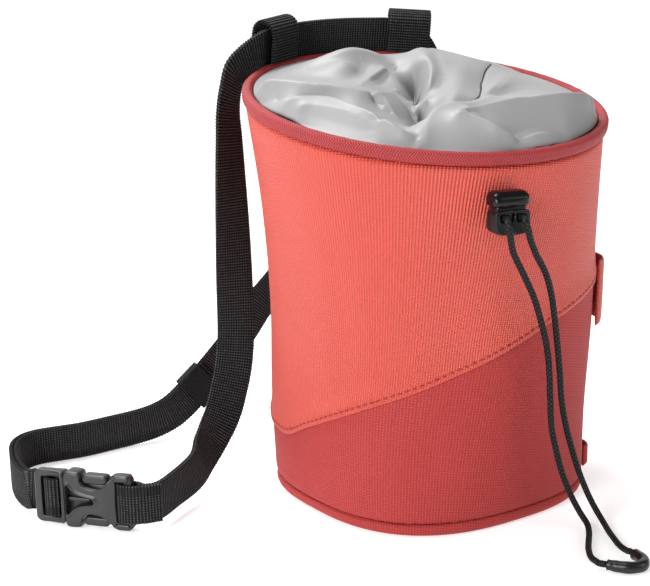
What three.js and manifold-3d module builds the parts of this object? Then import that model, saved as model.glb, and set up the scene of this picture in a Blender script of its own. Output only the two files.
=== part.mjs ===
// Climbing chalk bag: a cloth bucket with a flared bound rim, a gathered nylon closure,
// a webbing waist belt through two rear loops, a side-release buckle and a sprung cord lock.
// Millimetres, +Z up. The origin is the middle of the base's underside. The front, with the
// cord lock, faces -Y. Turns are degrees about +Z, counted from the front towards +X.
import * as THREE from 'three';
import { mergeVertices } from 'three/addons/utils/BufferGeometryUtils.js';
import Module from 'manifold-3d';

const wasm = await Module();
wasm.setup();

// Driving dimensions
const seat = 0.3; // gap between neighbouring pieces
const rimRadius = 70; // outside of the rim's binding
const rimHeight = 155.4; // middle of the rim above the floor
const rimTilt = 11.5; // degrees; the rim is higher at the back
const clothWall = 1.6;
const baseHalfWidth = 57; // from the middle of the base to a flat side
const baseSquareness = 2.6; // 2 is round, more is squarer
const baseTurn = 8; // how far the squarish base is twisted under the round rim
const baseEdge = 5; // height of the base panel's turned-up edge
const baseWall = 2.2;
const bindingHeight = 5;
const bindingWidth = 4;
const bindingProud = 1.3; // how far the binding stands out from the wall below it
const lapHem = 0.9; // how far the upper panel's folded hem stands proud
const collarWall = 1.2;
const collarRoll = 8; // how high the gathered closure bulges above the rim
const mouthRadius = 5.5;
const webWidth = 15;
const webThick = 1.6;
const loopWidth = 17.5;
const loopHeight = 17.5; // top of a belt loop above the rim
const loopDepth = 10;
const buckleWidth = 22;
const buckleDepth = 7;
const buckleWall = 1.1;
const keeperWall = 1.1;
const keeperLength = 12;
const cordDiameter = 2.3;
const sleeveDiameter = 4.2;
const lockWidth = 13;
const lockDepth = 8.5;
const lockBodyHeight = 8.2;
const buttonHeight = 5;
const buttonGap = 1.5; // rest gap under the button's cap
const lockDrop = 7.6; // from the binding's lower edge down to the cord lock's top
const lockTurn = -6.6;
const brushSleeveWidth = 19;
const brushSleeveWall = 1.2;

const around = 48; // steps round the bag
const { degToRad } = THREE.MathUtils;

const colours = { coral: 0xe8563f, brick: 0xa9343a, binding: 0xb23a44, nylon: 0xb4b6ba, web: 0x1d1d1f };

function finish(color, roughness, metalness = 0) {
  return new THREE.MeshStandardMaterial({ color, roughness, metalness });
}

const object = new THREE.Group();

function addPiece(name, geometry, material, parent = object) {
  const mesh = new THREE.Mesh(geometry, material);
  mesh.name = name;
  parent.add(mesh);
  return mesh;
}

// A closed geometry from points and triangles, turned right side out by the sign of its volume
function closedGeometry(points, triangles) {
  let volume = 0;
  const cross = new THREE.Vector3();
  for (let i = 0; i < triangles.length; i += 3) {
    cross.crossVectors(points[triangles[i + 1]], points[triangles[i + 2]]);
    volume += points[triangles[i]].dot(cross);
  }
  if (volume < 0) triangles.reverse();
  const geometry = new THREE.BufferGeometry().setFromPoints(points);
  geometry.setIndex(triangles);
  geometry.computeVertexNormals();
  return geometry;
}

// A sheet of cloth: two grids of points, front[i][j] and back[i][j], joined round their edges.
// With wrap, row i runs all the way round and the last row meets the first.
function sheet(front, back, wrap = false) {
  const rows = front.length;
  const cols = front[0].length;
  const points = [...front.flat(), ...back.flat()];
  const at = (side, i, j) => side * rows * cols + (i % rows) * cols + j;
  const triangles = [];
  const quad = (a, b, c, d) => triangles.push(a, b, c, a, c, d);
  const spans = wrap ? rows : rows - 1;
  for (let i = 0; i < spans; i++) {
    for (let j = 0; j < cols - 1; j++) {
      quad(at(0, i, j), at(0, i + 1, j), at(0, i + 1, j + 1), at(0, i, j + 1));
      quad(at(1, i, j), at(1, i, j + 1), at(1, i + 1, j + 1), at(1, i + 1, j));
    }
    quad(at(0, i, 0), at(1, i, 0), at(1, i + 1, 0), at(0, i + 1, 0));
    quad(at(0, i, cols - 1), at(0, i + 1, cols - 1), at(1, i + 1, cols - 1), at(1, i, cols - 1));
  }
  if (!wrap) {
    for (let j = 0; j < cols - 1; j++) {
      quad(at(0, 0, j), at(0, 0, j + 1), at(1, 0, j + 1), at(1, 0, j));
      quad(at(0, rows - 1, j), at(1, rows - 1, j), at(1, rows - 1, j + 1), at(0, rows - 1, j + 1));
    }
  }
  return closedGeometry(points, triangles);
}

// Rings of points joined one to the next, each end closed by a fan round its own cap point
function ringStack(rings, startCap, endCap) {
  const sides = rings[0].length;
  const points = [...rings.flat(), startCap, endCap];
  const triangles = [];
  for (let j = 0; j < sides; j++) {
    const next = (j + 1) % sides;
    for (let i = 0; i < rings.length - 1; i++) {
      const low = i * sides;
      const high = low + sides;
      triangles.push(low + j, low + next, high + next, low + j, high + next, high + j);
    }
    const top = (rings.length - 1) * sides;
    triangles.push(points.length - 2, next, j, points.length - 1, top + j, top + next);
  }
  return closedGeometry(points, triangles);
}

function toSolid(geometry) {
  const bare = geometry.clone();
  bare.deleteAttribute('normal');
  bare.deleteAttribute('uv');
  const merged = mergeVertices(bare, 1e-4);
  return new wasm.Manifold(new wasm.Mesh({
    numProp: 3,
    vertProperties: new Float32Array(merged.attributes.position.array),
    triVerts: new Uint32Array(merged.index.array),
  }));
}

function toGeometry(solid) {
  const mesh = solid.getMesh();
  const geometry = new THREE.BufferGeometry();
  geometry.setAttribute('position', new THREE.BufferAttribute(mesh.vertProperties, 3));
  geometry.setIndex(new THREE.BufferAttribute(mesh.triVerts, 1));
  geometry.computeVertexNormals();
  return geometry;
}

function joinAndCut(first, added, removed = []) {
  let solid = toSolid(first);
  for (const geometry of added) solid = solid.add(toSolid(geometry));
  for (const geometry of removed) solid = solid.subtract(toSolid(geometry));
  return toGeometry(solid);
}

// A plate with the given outline in X and Y, centred on Z
function plate(outline, thickness, holes = [], curveSegments = 6) {
  const shape = new THREE.Shape(outline);
  for (const hole of holes) shape.holes.push(new THREE.Path(hole));
  const geometry = new THREE.ExtrudeGeometry(shape, { depth: thickness, bevelEnabled: false, curveSegments });
  return geometry.translate(0, 0, -thickness / 2);
}

// Outline of a rectangle whose corners are rounded, counter-clockwise
function roundedBox(left, right, low, high, radius, steps = 3) {
  const corners = [
    { x: right - radius, y: low + radius, from: -90 },
    { x: right - radius, y: high - radius, from: 0 },
    { x: left + radius, y: high - radius, from: 90 },
    { x: left + radius, y: low + radius, from: 180 },
  ];
  const outline = [];
  for (const corner of corners) {
    for (let k = 0; k <= steps; k++) {
      const angle = degToRad(corner.from + (90 * k) / steps);
      outline.push(new THREE.Vector2(corner.x + radius * Math.cos(angle), corner.y + radius * Math.sin(angle)));
    }
  }
  return outline;
}

function block(left, right, low, high, back, front) {
  const box = new THREE.BoxGeometry(right - left, high - low, front - back);
  return box.translate((left + right) / 2, (low + high) / 2, (back + front) / 2);
}

// Smooth curve through a table's rows; with a period the last row leads back to the first
function readTable(rows, key, value, where, period = 0) {
  const count = rows.length;
  const row = (i) => {
    if (!period) return rows[Math.min(Math.max(i, 0), count - 1)];
    const lap = Math.floor(i / count);
    const source = rows[i - lap * count];
    return { ...source, [key]: source[key] + lap * period };
  };
  let i = period ? -1 : 0;
  const last = period ? count - 1 : count - 2;
  let at = where;
  if (period) {
    while (at >= rows[0][key] + period) at -= period;
    while (at < rows[0][key]) at += period;
    i = 0;
  }
  while (i < last && at > row(i + 1)[key]) i++;
  const [a, b, c, d] = [row(i - 1), row(i), row(i + 1), row(i + 2)];
  const span = c[key] - b[key];
  const t = THREE.MathUtils.clamp((at - b[key]) / span, 0, 1);
  const slopeB = ((c[value] - a[value]) / (c[key] - a[key] || span)) * span;
  const slopeC = ((d[value] - b[value]) / (d[key] - b[key] || span)) * span;
  const [t2, t3] = [t * t, t * t * t];
  return (2 * t3 - 3 * t2 + 1) * b[value] + (t3 - 2 * t2 + t) * slopeB
    + (3 * t2 - 2 * t3) * c[value] + (t3 - t2) * slopeC;
}

const bell = (value) => Math.exp(-value * value);
const turnBetween = (a, b) => THREE.MathUtils.euclideanModulo(a - b + 180, 360) - 180;
const outward = (turn) => new THREE.Vector3(Math.sin(degToRad(turn)), -Math.cos(degToRad(turn)), 0);
const sideways = (turn) => new THREE.Vector3(Math.cos(degToRad(turn)), Math.sin(degToRad(turn)), 0);

// The rim lies in a plane of its own, tilted about X
const rimPlane = new THREE.Matrix4().makeRotationX(degToRad(rimTilt)).setPosition(0, 0, rimHeight);
const rimUp = new THREE.Vector3(0, 0, 1).transformDirection(rimPlane);
const rimPoint = (turn, radius, up) => outward(turn).multiplyScalar(radius).setZ(up).applyMatrix4(rimPlane);
const rimSideways = (turn) => sideways(turn).transformDirection(rimPlane);
const lockHeight = rimPoint(lockTurn, rimRadius, -bindingHeight).z - lockDrop - buttonHeight - buttonGap - lockBodyHeight;

// Bag wall: the base's rounded square morphs into the rim's circle.
// Girth is the share of the straight taper, leanX and leanY are shares of the rim radius.
const wallSections = [
  { share: 0, girth: 1, leanX: 0, leanY: 0 },
  { share: 0.25, girth: 0.985, leanX: -0.002, leanY: 0.001 },
  { share: 0.5, girth: 0.968, leanX: 0.014, leanY: -0.007 },
  { share: 0.75, girth: 0.975, leanX: 0.015, leanY: -0.007 },
  { share: 1, girth: 1, leanX: 0, leanY: 0 },
];

// Soft dents and swells of the wall: turn and wide in degrees, up and tall as shares of the wall's
// height, and depth as a share of the rim radius, positive inwards
const wallDents = [
  { turn: -27, wide: 7, up: 0.16, tall: 0.12, depth: 0.03 },
  { turn: -52, wide: 16, up: 0.1, tall: 0.14, depth: -0.012 },
  { turn: -2, wide: 16, up: 0.12, tall: 0.12, depth: -0.012 },
  { turn: 32, wide: 14, up: 0.3, tall: 0.2, depth: 0.014 },
  { turn: 62, wide: 16, up: 0.45, tall: 0.25, depth: -0.02 },
  { turn: -75, wide: 18, up: 0.55, tall: 0.2, depth: 0.018 },
  { turn: 150, wide: 22, up: 0.4, tall: 0.22, depth: 0.016 },
  { turn: -150, wide: 20, up: 0.35, tall: 0.2, depth: 0.014 },
];

function wallPoint(turn, share, proud) {
  const squareTurn = degToRad(turn - baseTurn);
  const flats = Math.abs(Math.sin(squareTurn)) ** baseSquareness + Math.abs(Math.cos(squareTurn)) ** baseSquareness;
  const low = outward(turn).multiplyScalar(baseHalfWidth * flats ** (-1 / baseSquareness));
  const high = rimPoint(turn, rimRadius - bindingProud, -bindingHeight - seat);
  const point = low.lerp(high, share);
  let girth = readTable(wallSections, 'share', 'girth', share);
  for (const dent of wallDents) {
    const reach = bell(turnBetween(turn, dent.turn) / dent.wide) * bell((share - dent.up) / dent.tall);
    girth -= dent.depth * reach * Math.sin(Math.PI * share);
  }
  point.x = point.x * girth + readTable(wallSections, 'share', 'leanX', share) * rimRadius;
  point.y = point.y * girth + readTable(wallSections, 'share', 'leanY', share) * rimRadius;
  const away = outward(turn).lerp(outward(turn).transformDirection(rimPlane), share);
  return point.addScaledVector(away, proud);
}

const wallShare = (turn, height) => height / wallPoint(turn, 1, 0).z;

// The lap of the coral panel over the brick one, as shares of the rim's height
const lapSeam = [
  { turn: -150, height: 0.21 },
  { turn: -98, height: 0.176 },
  { turn: -79, height: 0.225 },
  { turn: -44, height: 0.33 },
  { turn: -8, height: 0.43 },
  { turn: 21, height: 0.5 },
  { turn: 53, height: 0.544 },
  { turn: 80, height: 0.545 },
  { turn: 125, height: 0.46 },
  { turn: 170, height: 0.32 },
];
const lapShare = (turn) => wallShare(turn, rimHeight * readTable(lapSeam, 'turn', 'height', turn, 360));

const turnsAround = Array.from({ length: around }, (_, i) => -180 + (360 * i) / around);
const sharesBetween = (low, high, steps) => Array.from({ length: steps + 1 }, (_, k) => low + ((high - low) * k) / steps);

function buildPanels() {
  const hemShare = 4 / rimHeight; // a hem 4 mm deep along the upper panel's lower edge
  const upperFront = [];
  const upperBack = [];
  const lowerFront = [];
  const lowerBack = [];
  for (const turn of turnsAround) {
    const lap = lapShare(turn);
    const seam = wallShare(turn, seat);
    const upper = [lap, lap + hemShare, ...sharesBetween(lap + 1.3 * hemShare, 1, 6)];
    upperFront.push(upper.map((share, k) => wallPoint(turn, share, k < 2 ? lapHem : 0)));
    upperBack.push(upper.map((share) => wallPoint(turn, share, -clothWall)));
    const lower = sharesBetween(wallShare(turn, baseEdge + seat), lap - seam, 6);
    lowerFront.push(lower.map((share) => wallPoint(turn, share, 0)));
    lowerBack.push(lower.map((share) => wallPoint(turn, share, -clothWall)));
  }
  addPiece('bag_upper_panel', sheet(upperFront, upperBack, true), finish(colours.coral, 0.85));
  addPiece('bag_lower_panel', sheet(lowerFront, lowerBack, true), finish(colours.brick, 0.9));
}

// The base is a shallow dish. Inset is in millimetres from the wall's outer face.
function buildBase() {
  const corner = 3;
  const profile = [
    { inset: baseHalfWidth * 0.6, height: 0 },
    { inset: corner, height: 0 },
    { inset: corner * 0.3, height: corner * 0.3 },
    { inset: 0, height: corner },
    { inset: 0, height: baseEdge },
    { inset: clothWall, height: baseEdge },
    { inset: clothWall, height: corner },
    { inset: corner + clothWall, height: baseWall },
    { inset: baseHalfWidth * 0.6, height: baseWall },
  ];
  const rings = profile.map((row) => turnsAround.map((turn) => wallPoint(turn, 0, -row.inset).setZ(row.height)));
  // The fans' middle points sit off the centre, so that the origin lies within one facet
  const offCentre = new THREE.Vector3(baseHalfWidth * 0.12, baseHalfWidth * 0.07, 0);
  const base = ringStack(rings, offCentre, offCentre.clone().setZ(baseWall));
  addPiece('bag_base', base, finish(colours.brick, 0.9));
}

function buildBinding() {
  const outline = roundedBox(rimRadius - bindingWidth, rimRadius, -bindingHeight, 0, 1.4, 2);
  outline.push(outline[0].clone());
  const ring = new THREE.LatheGeometry(outline, around).rotateX(Math.PI / 2).applyMatrix4(rimPlane);
  addPiece('rim_binding', ring, finish(colours.binding, 0.9));
}

// Gathered closure: a soft roll inside the rim that sinks to the mouth, with radiating folds.
// Turn and spread are degrees about the mouth, rise is a share of the roll's height, negative in
// a crease, and near and reach say where from mouth (0) to rim (1) it is strongest and how far.
const collarFolds = [
  { turn: -104, spread: 13, rise: 0.55, near: 0.62, reach: 0.28 },
  { turn: -62, spread: 20, rise: 0.25, near: 0.55, reach: 0.25 },
  { turn: -31, spread: 7, rise: -1.15, near: 0.45, reach: 0.4 },
  { turn: -14, spread: 9, rise: 0.35, near: 0.4, reach: 0.3 },
  { turn: 4, spread: 7, rise: -0.75, near: 0.62, reach: 0.28 },
  { turn: 34, spread: 22, rise: 0.75, near: 0.5, reach: 0.3 },
  { turn: 72, spread: 8, rise: -0.6, near: 0.6, reach: 0.35 },
  { turn: 96, spread: 12, rise: 0.3, near: 0.55, reach: 0.3 },
  { turn: 120, spread: 8, rise: -0.8, near: 0.5, reach: 0.4 },
  { turn: 152, spread: 13, rise: 0.5, near: 0.6, reach: 0.25 },
  { turn: 178, spread: 8, rise: -0.4, near: 0.6, reach: 0.3 },
  { turn: -157, spread: 12, rise: 0.5, near: 0.6, reach: 0.25 },
  { turn: -130, spread: 8, rise: -0.7, near: 0.5, reach: 0.35 },
];
const mouthOffset = 0.06; // share of the rim radius that the mouth sits behind the middle
const mouthSink = 0.9; // how far the mouth sits below the rim, as a share of the roll

function collarHeight(turn, share) {
  let height = 1.9 * Math.sin(Math.PI * share ** 0.85) ** 1.3 - mouthSink * (1 - share) ** 2 * 2 - 0.12 * share ** 6;
  height *= 0.62;
  for (const fold of collarFolds) {
    const reach = bell(turnBetween(turn, fold.turn) / fold.spread) * bell((share - fold.near) / fold.reach);
    height += fold.rise * reach * Math.sin(Math.PI * share) ** 0.5;
  }
  return height * collarRoll;
}

function collarPoint(turn, share, drop) {
  const edge = outward(turn).multiplyScalar(rimRadius - bindingWidth - seat);
  const mouth = outward(turn).multiplyScalar(mouthRadius).add(new THREE.Vector3(0, mouthOffset * rimRadius, 0));
  const point = mouth.lerp(edge, share);
  return point.setZ(collarHeight(turn, share) - drop).applyMatrix4(rimPlane);
}

function buildCollar() {
  const steps = 60;
  const shares = sharesBetween(0, 1, 10);
  const turns = Array.from({ length: steps }, (_, i) => (360 * i) / steps);
  const top = turns.map((turn) => shares.map((share) => collarPoint(turn, share, 0)));
  const under = turns.map((turn) => shares.map((share) => collarPoint(turn, share, collarWall)));
  addPiece('collar', sheet(top, under, true), finish(colours.nylon, 0.6));
}

// A flat strap along stations, each with its place and the direction of the strap's width
function strapStations(stations, step) {
  const curve = new THREE.CatmullRomCurve3(stations.map((station) => station.at), false, 'centripetal');
  const last = stations.length - 1;
  const places = [];
  for (let i = 0; i < last; i++) {
    const parts = Math.max(1, Math.round(stations[i].at.distanceTo(stations[i + 1].at) / step));
    for (let k = 0; k < parts; k++) places.push(i + k / parts);
  }
  places.push(last);
  return places.map((place) => {
    const i = Math.min(Math.floor(place), last - 1);
    const along = curve.getTangent(place / last).normalize();
    const across = stations[i].across.clone().lerp(stations[i + 1].across, place - i);
    across.addScaledVector(along, -across.dot(along)).normalize();
    const face = new THREE.Vector3().crossVectors(along, across);
    return { at: curve.getPoint(place / last), along, across, face };
  });
}

function strap(frames, width, thick) {
  const edge = (frame, side, depth) => frame.at.clone()
    .addScaledVector(frame.across, (side * width) / 2)
    .addScaledVector(frame.face, (depth * thick) / 2);
  const face = (depth) => frames.map((frame) => [edge(frame, -1, depth), edge(frame, 1, depth)]);
  return sheet(face(1), face(-1));
}

// Belt loops at the back: an inverted U from the binding's top over the belt to the wall outside
const loopTurns = { belt_loop_left: -150.5, belt_loop_right: 156.6 };
const loopThick = 1.4;

function buildLoop(name, turn) {
  const inner = rimRadius - bindingWidth + loopThick / 2;
  const outer = inner + loopDepth;
  const bend = loopDepth / 2;
  const crown = loopHeight - bend - loopThick / 2;
  const foot = seat + loopWidth / 2 * Math.tan(degToRad(rimTilt)) * 0.2;
  const route = [{ radius: inner, up: foot }, { radius: inner, up: crown * 0.5 }];
  for (let k = 0; k <= 6; k++) {
    const angle = (Math.PI * k) / 6;
    route.push({ radius: inner + bend - bend * Math.cos(angle), up: crown + bend * Math.sin(angle) });
  }
  route.push({ radius: outer, up: 0 });
  route.push({ radius: outer - 0.8, up: -bindingHeight });
  route.push({ radius: rimRadius + seat + loopThick / 2, up: -bindingHeight * 2.8 });
  const across = rimSideways(turn);
  const stations = route.map((row) => ({ at: rimPoint(turn, row.radius, row.up), across }));
  addPiece(name, strap(strapStations(stations, 12), loopWidth, loopThick), finish(colours.web, 0.8));
}

// Buckle frame: local X runs from the male end to the female end, Y is the width, Z the thickness.
// It stands on its long edge on the floor beside the bag.
const buckleTurn = -98.7; // where its middle lies round the bag
const buckleOut = 1.983; // its middle's distance from the bag's axis, in rim radii
const buckleHeading = -43.5; // degrees of its length from +X
const maleEnd = -0.92 * buckleWidth;
const femaleEnd = 0.92 * buckleWidth;
const splitLine = -0.31 * buckleWidth;
const webSlot = webWidth / 2 + 0.5;
const barThick = 0.43 * buckleDepth;
const foldRadius = barThick / 2 + seat + webThick / 2;
const slotLength = foldRadius + webThick / 2 + 0.7;
const barWidth = 0.14 * buckleWidth;
const cavityRim = 0.09 * buckleWidth; // plastic beside the cavity
const webLead = 0.164 * buckleWidth; // from a buckle's end to where its webbing's layers have met
const femaleBar = femaleEnd - barWidth;
const maleBar = maleEnd + barWidth;

const buckle = new THREE.Group();
buckle.position.copy(outward(buckleTurn).multiplyScalar(buckleOut * rimRadius)).setZ(buckleWidth / 2);
const heading = new THREE.Vector3(Math.cos(degToRad(buckleHeading)), Math.sin(degToRad(buckleHeading)), 0);
const worldUp = new THREE.Vector3(0, 0, 1);
const towardsViewer = new THREE.Vector3().crossVectors(heading, worldUp);
buckle.quaternion.setFromRotationMatrix(new THREE.Matrix4().makeBasis(heading, worldUp, towardsViewer));
buckle.updateMatrixWorld();
object.add(buckle);
const atBuckle = (x, y, z) => new THREE.Vector3(x, y, z).applyMatrix4(buckle.matrixWorld);

function buildBuckle() {
  const half = buckleWidth / 2;
  const plastic = finish(0x232427, 0.5);
  const femaleOutline = [
    new THREE.Vector2(splitLine, -half), new THREE.Vector2(femaleBar - barWidth, -half),
    new THREE.Vector2(femaleEnd - 1, -half * 0.88), new THREE.Vector2(femaleEnd, -half * 0.78),
    new THREE.Vector2(femaleEnd, half * 0.78), new THREE.Vector2(femaleEnd - 1, half * 0.88),
    new THREE.Vector2(femaleBar - barWidth, half), new THREE.Vector2(splitLine, half),
    new THREE.Vector2(splitLine + cavityRim * 0.8, half * 0.4), new THREE.Vector2(splitLine + cavityRim * 0.8, -half * 0.4),
  ];
  const cavityEnd = femaleBar - slotLength - cavityRim * 0.7;
  const cavityHalf = half - cavityRim;
  const window = [[-1, -half * 0.45], [half, 0], [-1, half * 0.45]].map(([x, y]) => new THREE.Vector2(splitLine + x, y));
  const buttonWindow = { from: splitLine + 0.32 * buckleWidth, to: cavityEnd - 0.4 };
  const step = 0.29 * buckleDepth; // the bar end is thinner than the body by this much on each face
  addPiece('buckle_female', joinAndCut(plate(femaleOutline, buckleDepth), [], [
    block(splitLine - 1, cavityEnd, -cavityHalf, cavityHalf, buckleWall - buckleDepth / 2, buckleDepth / 2 - buckleWall),
    plate(window, buckleDepth + 2),
    block(buttonWindow.from, buttonWindow.to, cavityHalf - cavityRim * 0.6, half + 1, -buckleDepth, buckleDepth),
    block(buttonWindow.from, buttonWindow.to, -half - 1, cavityRim * 0.6 - cavityHalf, -buckleDepth, buckleDepth),
    block(femaleBar - slotLength, femaleBar, -webSlot, webSlot, -buckleDepth, buckleDepth),
    block(femaleBar - slotLength, femaleEnd + 1, -half - 1, half + 1, buckleDepth / 2 - step, buckleDepth),
    block(femaleBar - slotLength, femaleEnd + 1, -half - 1, half + 1, -buckleDepth, step - buckleDepth / 2),
  ]), plastic, buckle);

  const clear = seat + 0.05;
  const tongueThick = buckleDepth - 2 * buckleWall - 2 * clear;
  const armEnd = cavityEnd - 0.6;
  const armInner = cavityHalf - 0.136 * buckleWidth;
  const frame = plate(roundedBox(maleEnd, splitLine - clear, -half * 0.92, half * 0.92, 2), barThick);
  const shoulder = block(maleBar + slotLength, splitLine - clear, -half * 0.92, half * 0.92, -buckleDepth / 2, buckleDepth / 2);
  const arms = [-1, 1].flatMap((side) => {
    const low = Math.min(side * armInner, side * (cavityHalf - clear));
    const high = Math.max(side * armInner, side * (cavityHalf - clear));
    const head = [side * (cavityHalf - 1.5), side * (half - 0.6)].sort((a, b) => a - b);
    return [
      block(splitLine - 2, armEnd, low, high, -tongueThick / 2, tongueThick / 2),
      block(buttonWindow.from + clear, buttonWindow.to - clear, head[0], head[1], -tongueThick / 2, tongueThick / 2),
    ];
  });
  const tongue = block(splitLine - 2, armEnd - 3, -1.6, 1.6, -tongueThick / 2, tongueThick / 2);
  addPiece('buckle_male', joinAndCut(frame, [shoulder, ...arms, tongue], [
    block(maleBar, maleBar + slotLength, -webSlot, webSlot, -buckleDepth, buckleDepth),
  ]), plastic, buckle);
}

// Half turn of webbing round a buckle's bar, in the buckle's frame; side is the way the ends leave
function foldStations(barEdge, side, across) {
  const past = { x: barEdge + side * (barWidth + 0.6), z: foldRadius - 0.05 };
  const turned = Array.from({ length: 7 }, (_, k) => {
    const angle = (Math.PI * k) / 6;
    const x = barEdge - side * foldRadius * Math.sin(angle);
    return { at: atBuckle(x, 0, foldRadius * Math.cos(angle)), across };
  });
  return [{ at: atBuckle(past.x, 0, past.z), across }, ...turned, { at: atBuckle(past.x, 0, -past.z), across }];
}

// The belt's route: turn in degrees, out in rim radii, up in rim heights; tip and swing give the
// direction of the strap's width, as degrees above the floor plane and degrees round the axis
// from the front. Where up is missing the strap stands with its edge on the floor.
const nearBranch = [
  { turn: -92.3, out: 1.638, up: 0.071, tip: 90, swing: 0 },
  { turn: -98, out: 1.481, up: 0.071, tip: 89, swing: -115 },
  { turn: -105.9, out: 1.343, up: 0.077, tip: 80, swing: -115 },
  { turn: -114.5, out: 1.29, up: 0.09, tip: 65, swing: -115 },
  { turn: -120.5, out: 1.235, up: 0.125, tip: 45, swing: -115 },
  { turn: -124.5, out: 1.186, up: 0.172, tip: 28, swing: -115 },
  { turn: -125.6, out: 1.155, up: 0.235, tip: 14, swing: -116 },
  { turn: -126.1, out: 1.127, up: 0.3, tip: 5, swing: -116 },
  { turn: -126.2, out: 1.115, up: 0.38, tip: 1, swing: -114 },
  { turn: -126.3, out: 1.112, up: 0.52, tip: 0, swing: -102 },
  { turn: -126.3, out: 1.111, up: 0.66, tip: 0, swing: -86 },
  { turn: -126.3, out: 1.112, up: 0.79, tip: 0, swing: -73 },
  { turn: -127, out: 1.115, up: 0.896, tip: 0, swing: -63 },
  { turn: -128, out: 1.12, up: 0.96, tip: 3, swing: -57 },
  { turn: -129.6, out: 1.111, up: 1.015, tip: 12, swing: -54 },
  { turn: -132, out: 1.088, up: 1.062, tip: 34, swing: -54 },
];
const farBranch = [
  { turn: 143.6, out: 1.094, up: 1.045, tip: 40, swing: 58 },
  { turn: 146.2, out: 1.14, up: 0.976, tip: 4, swing: 58 },
  { turn: 151.3, out: 1.189, up: 0.894, tip: -22, swing: 64 },
  { turn: 157.6, out: 1.236, up: 0.798, tip: -38, swing: 70 },
  { turn: 165.8, out: 1.282, up: 0.7, tip: -48, swing: 78 },
  { turn: 175.6, out: 1.318, up: 0.598, tip: -51, swing: 86 },
  { turn: 186, out: 1.379, up: 0.495, tip: -48, swing: 90 },
  { turn: 192.7, out: 1.435, up: 0.412, tip: -43, swing: 90 },
  { turn: 197.1, out: 1.48, up: 0.355, tip: -41, swing: 90 },
  { turn: 200.9, out: 1.544, up: 0.278, tip: -41, swing: 90 },
];
// The stretch that is doubled by the strap's tail, from the keeper to the buckle's male end
const doubledBranch = [
  { turn: 207, out: 1.651, up: 0.173, tip: -47, swing: 90 },
  { turn: 209.6, out: 1.692, up: 0.139, tip: -50, swing: 90 },
  { turn: 212.1, out: 1.737, up: 0.107, tip: -54, swing: 90 },
  { turn: 215, out: 1.775, up: 0.08, tip: -62, swing: 90 },
  { turn: 218, out: 1.827, up: 0.063, tip: -73, swing: 90 },
  { turn: 221.1, out: 1.89, up: 0.055, tip: -82, swing: 90 },
  { turn: 226.3, out: 2.036, tip: -89, swing: 90 },
  { turn: 230.5, out: 2.163, tip: -90, swing: 90 },
  { turn: 234, out: 2.355, tip: -90, swing: 90 },
  { turn: 236, out: 2.42, tip: -90, swing: 90 },
  { turn: 239, out: 2.44, tip: -90, swing: 90 },
  { turn: 243.5, out: 2.402, up: 0.052, tip: -90, swing: 90 },
  { turn: 249.1, out: 2.34, up: 0.057, tip: -90, swing: 90 },
  { turn: 253.9, out: 2.271, up: 0.063, tip: -90, swing: 90 },
];
const layerGap = 0.4;

function routeStation(row) {
  const height = row.up === undefined ? webWidth / 2 + 0.2 : row.up * rimHeight;
  const at = outward(row.turn).multiplyScalar(row.out * rimRadius).setZ(height);
  const across = outward(row.swing).multiplyScalar(Math.cos(degToRad(row.tip))).setZ(Math.sin(degToRad(row.tip)));
  return { at, across };
}

const down = new THREE.Vector3(0, 0, -1);
const doubledMiddle = strapStations([
  ...doubledBranch.map(routeStation),
  { at: atBuckle(maleEnd - 6, 0, 0), across: down },
], 10);

function doubledLayer(side) {
  const offset = (side * (webThick + layerGap)) / 2;
  return doubledMiddle.map((frame) => ({
    at: frame.at.clone().addScaledVector(frame.face, offset),
    across: frame.across.clone(),
  }));
}

// Behind the rim the belt stands outside the binding; past the right-hand loop it turns down.
// Past is millimetres outwards from the binding's outer face, and up is from the rim to the
// strap's middle, as a share of its width.
const overRim = [
  { turn: -142, past: 1.4, up: 0.41, tip: 78 },
  { turn: -150.5, past: 1.3, up: 0.41, tip: 90 },
  { turn: -158, past: 1.2, up: 0.41, tip: 90 },
  { turn: -166, past: 1.2, up: 0.41, tip: 90 },
  { turn: -174, past: 1.2, up: 0.41, tip: 90 },
  { turn: -182, past: 1.2, up: 0.41, tip: 90 },
  { turn: -190, past: 1.2, up: 0.41, tip: 90 },
  { turn: -198, past: 1.4, up: 0.41, tip: 88 },
  { turn: -204.5, past: 1.7, up: 0.37, tip: 82 },
  { turn: -211, past: 2.5, up: 0.22, tip: 66 },
];

function rimStation(row) {
  const tip = degToRad(row.tip);
  const side = row.turn < -180 ? -1 : 1;
  const across = rimUp.clone().multiplyScalar(Math.sin(tip)).addScaledVector(rimSideways(row.turn), side * Math.cos(tip));
  return { at: rimPoint(row.turn, rimRadius + row.past, row.up * webWidth), across };
}

function buildBelt() {
  const layers = [doubledLayer(1), doubledLayer(-1)];
  const inFront = layers[0].at(-1).at.dot(towardsViewer) > layers[1].at(-1).at.dot(towardsViewer);
  const [outer, inner] = inFront ? layers : [...layers].reverse();
  const [first, second] = nearBranch.slice(0, 2).map(routeStation);
  const away = second.at.clone().sub(first.at).cross(worldUp).normalize();
  const stations = [
    { at: first.at.clone().addScaledVector(away, webThick + layerGap), across: worldUp },
    { at: atBuckle(femaleEnd + webLead, 0, (webThick + layerGap) * 0.6), across: worldUp },
    ...foldStations(femaleBar, 1, worldUp),
    { at: atBuckle(femaleEnd + webLead, 0, -(webThick + layerGap) * 0.6), across: worldUp },
    ...nearBranch.map(routeStation),
    ...overRim.map(rimStation),
    ...farBranch.map(routeStation),
    ...outer,
    ...foldStations(maleBar, -1, down),
    ...inner.reverse(),
  ];
  addPiece('belt_webbing', strap(strapStations(stations, 9), webWidth, webThick), finish(colours.web, 0.8));
}

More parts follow.
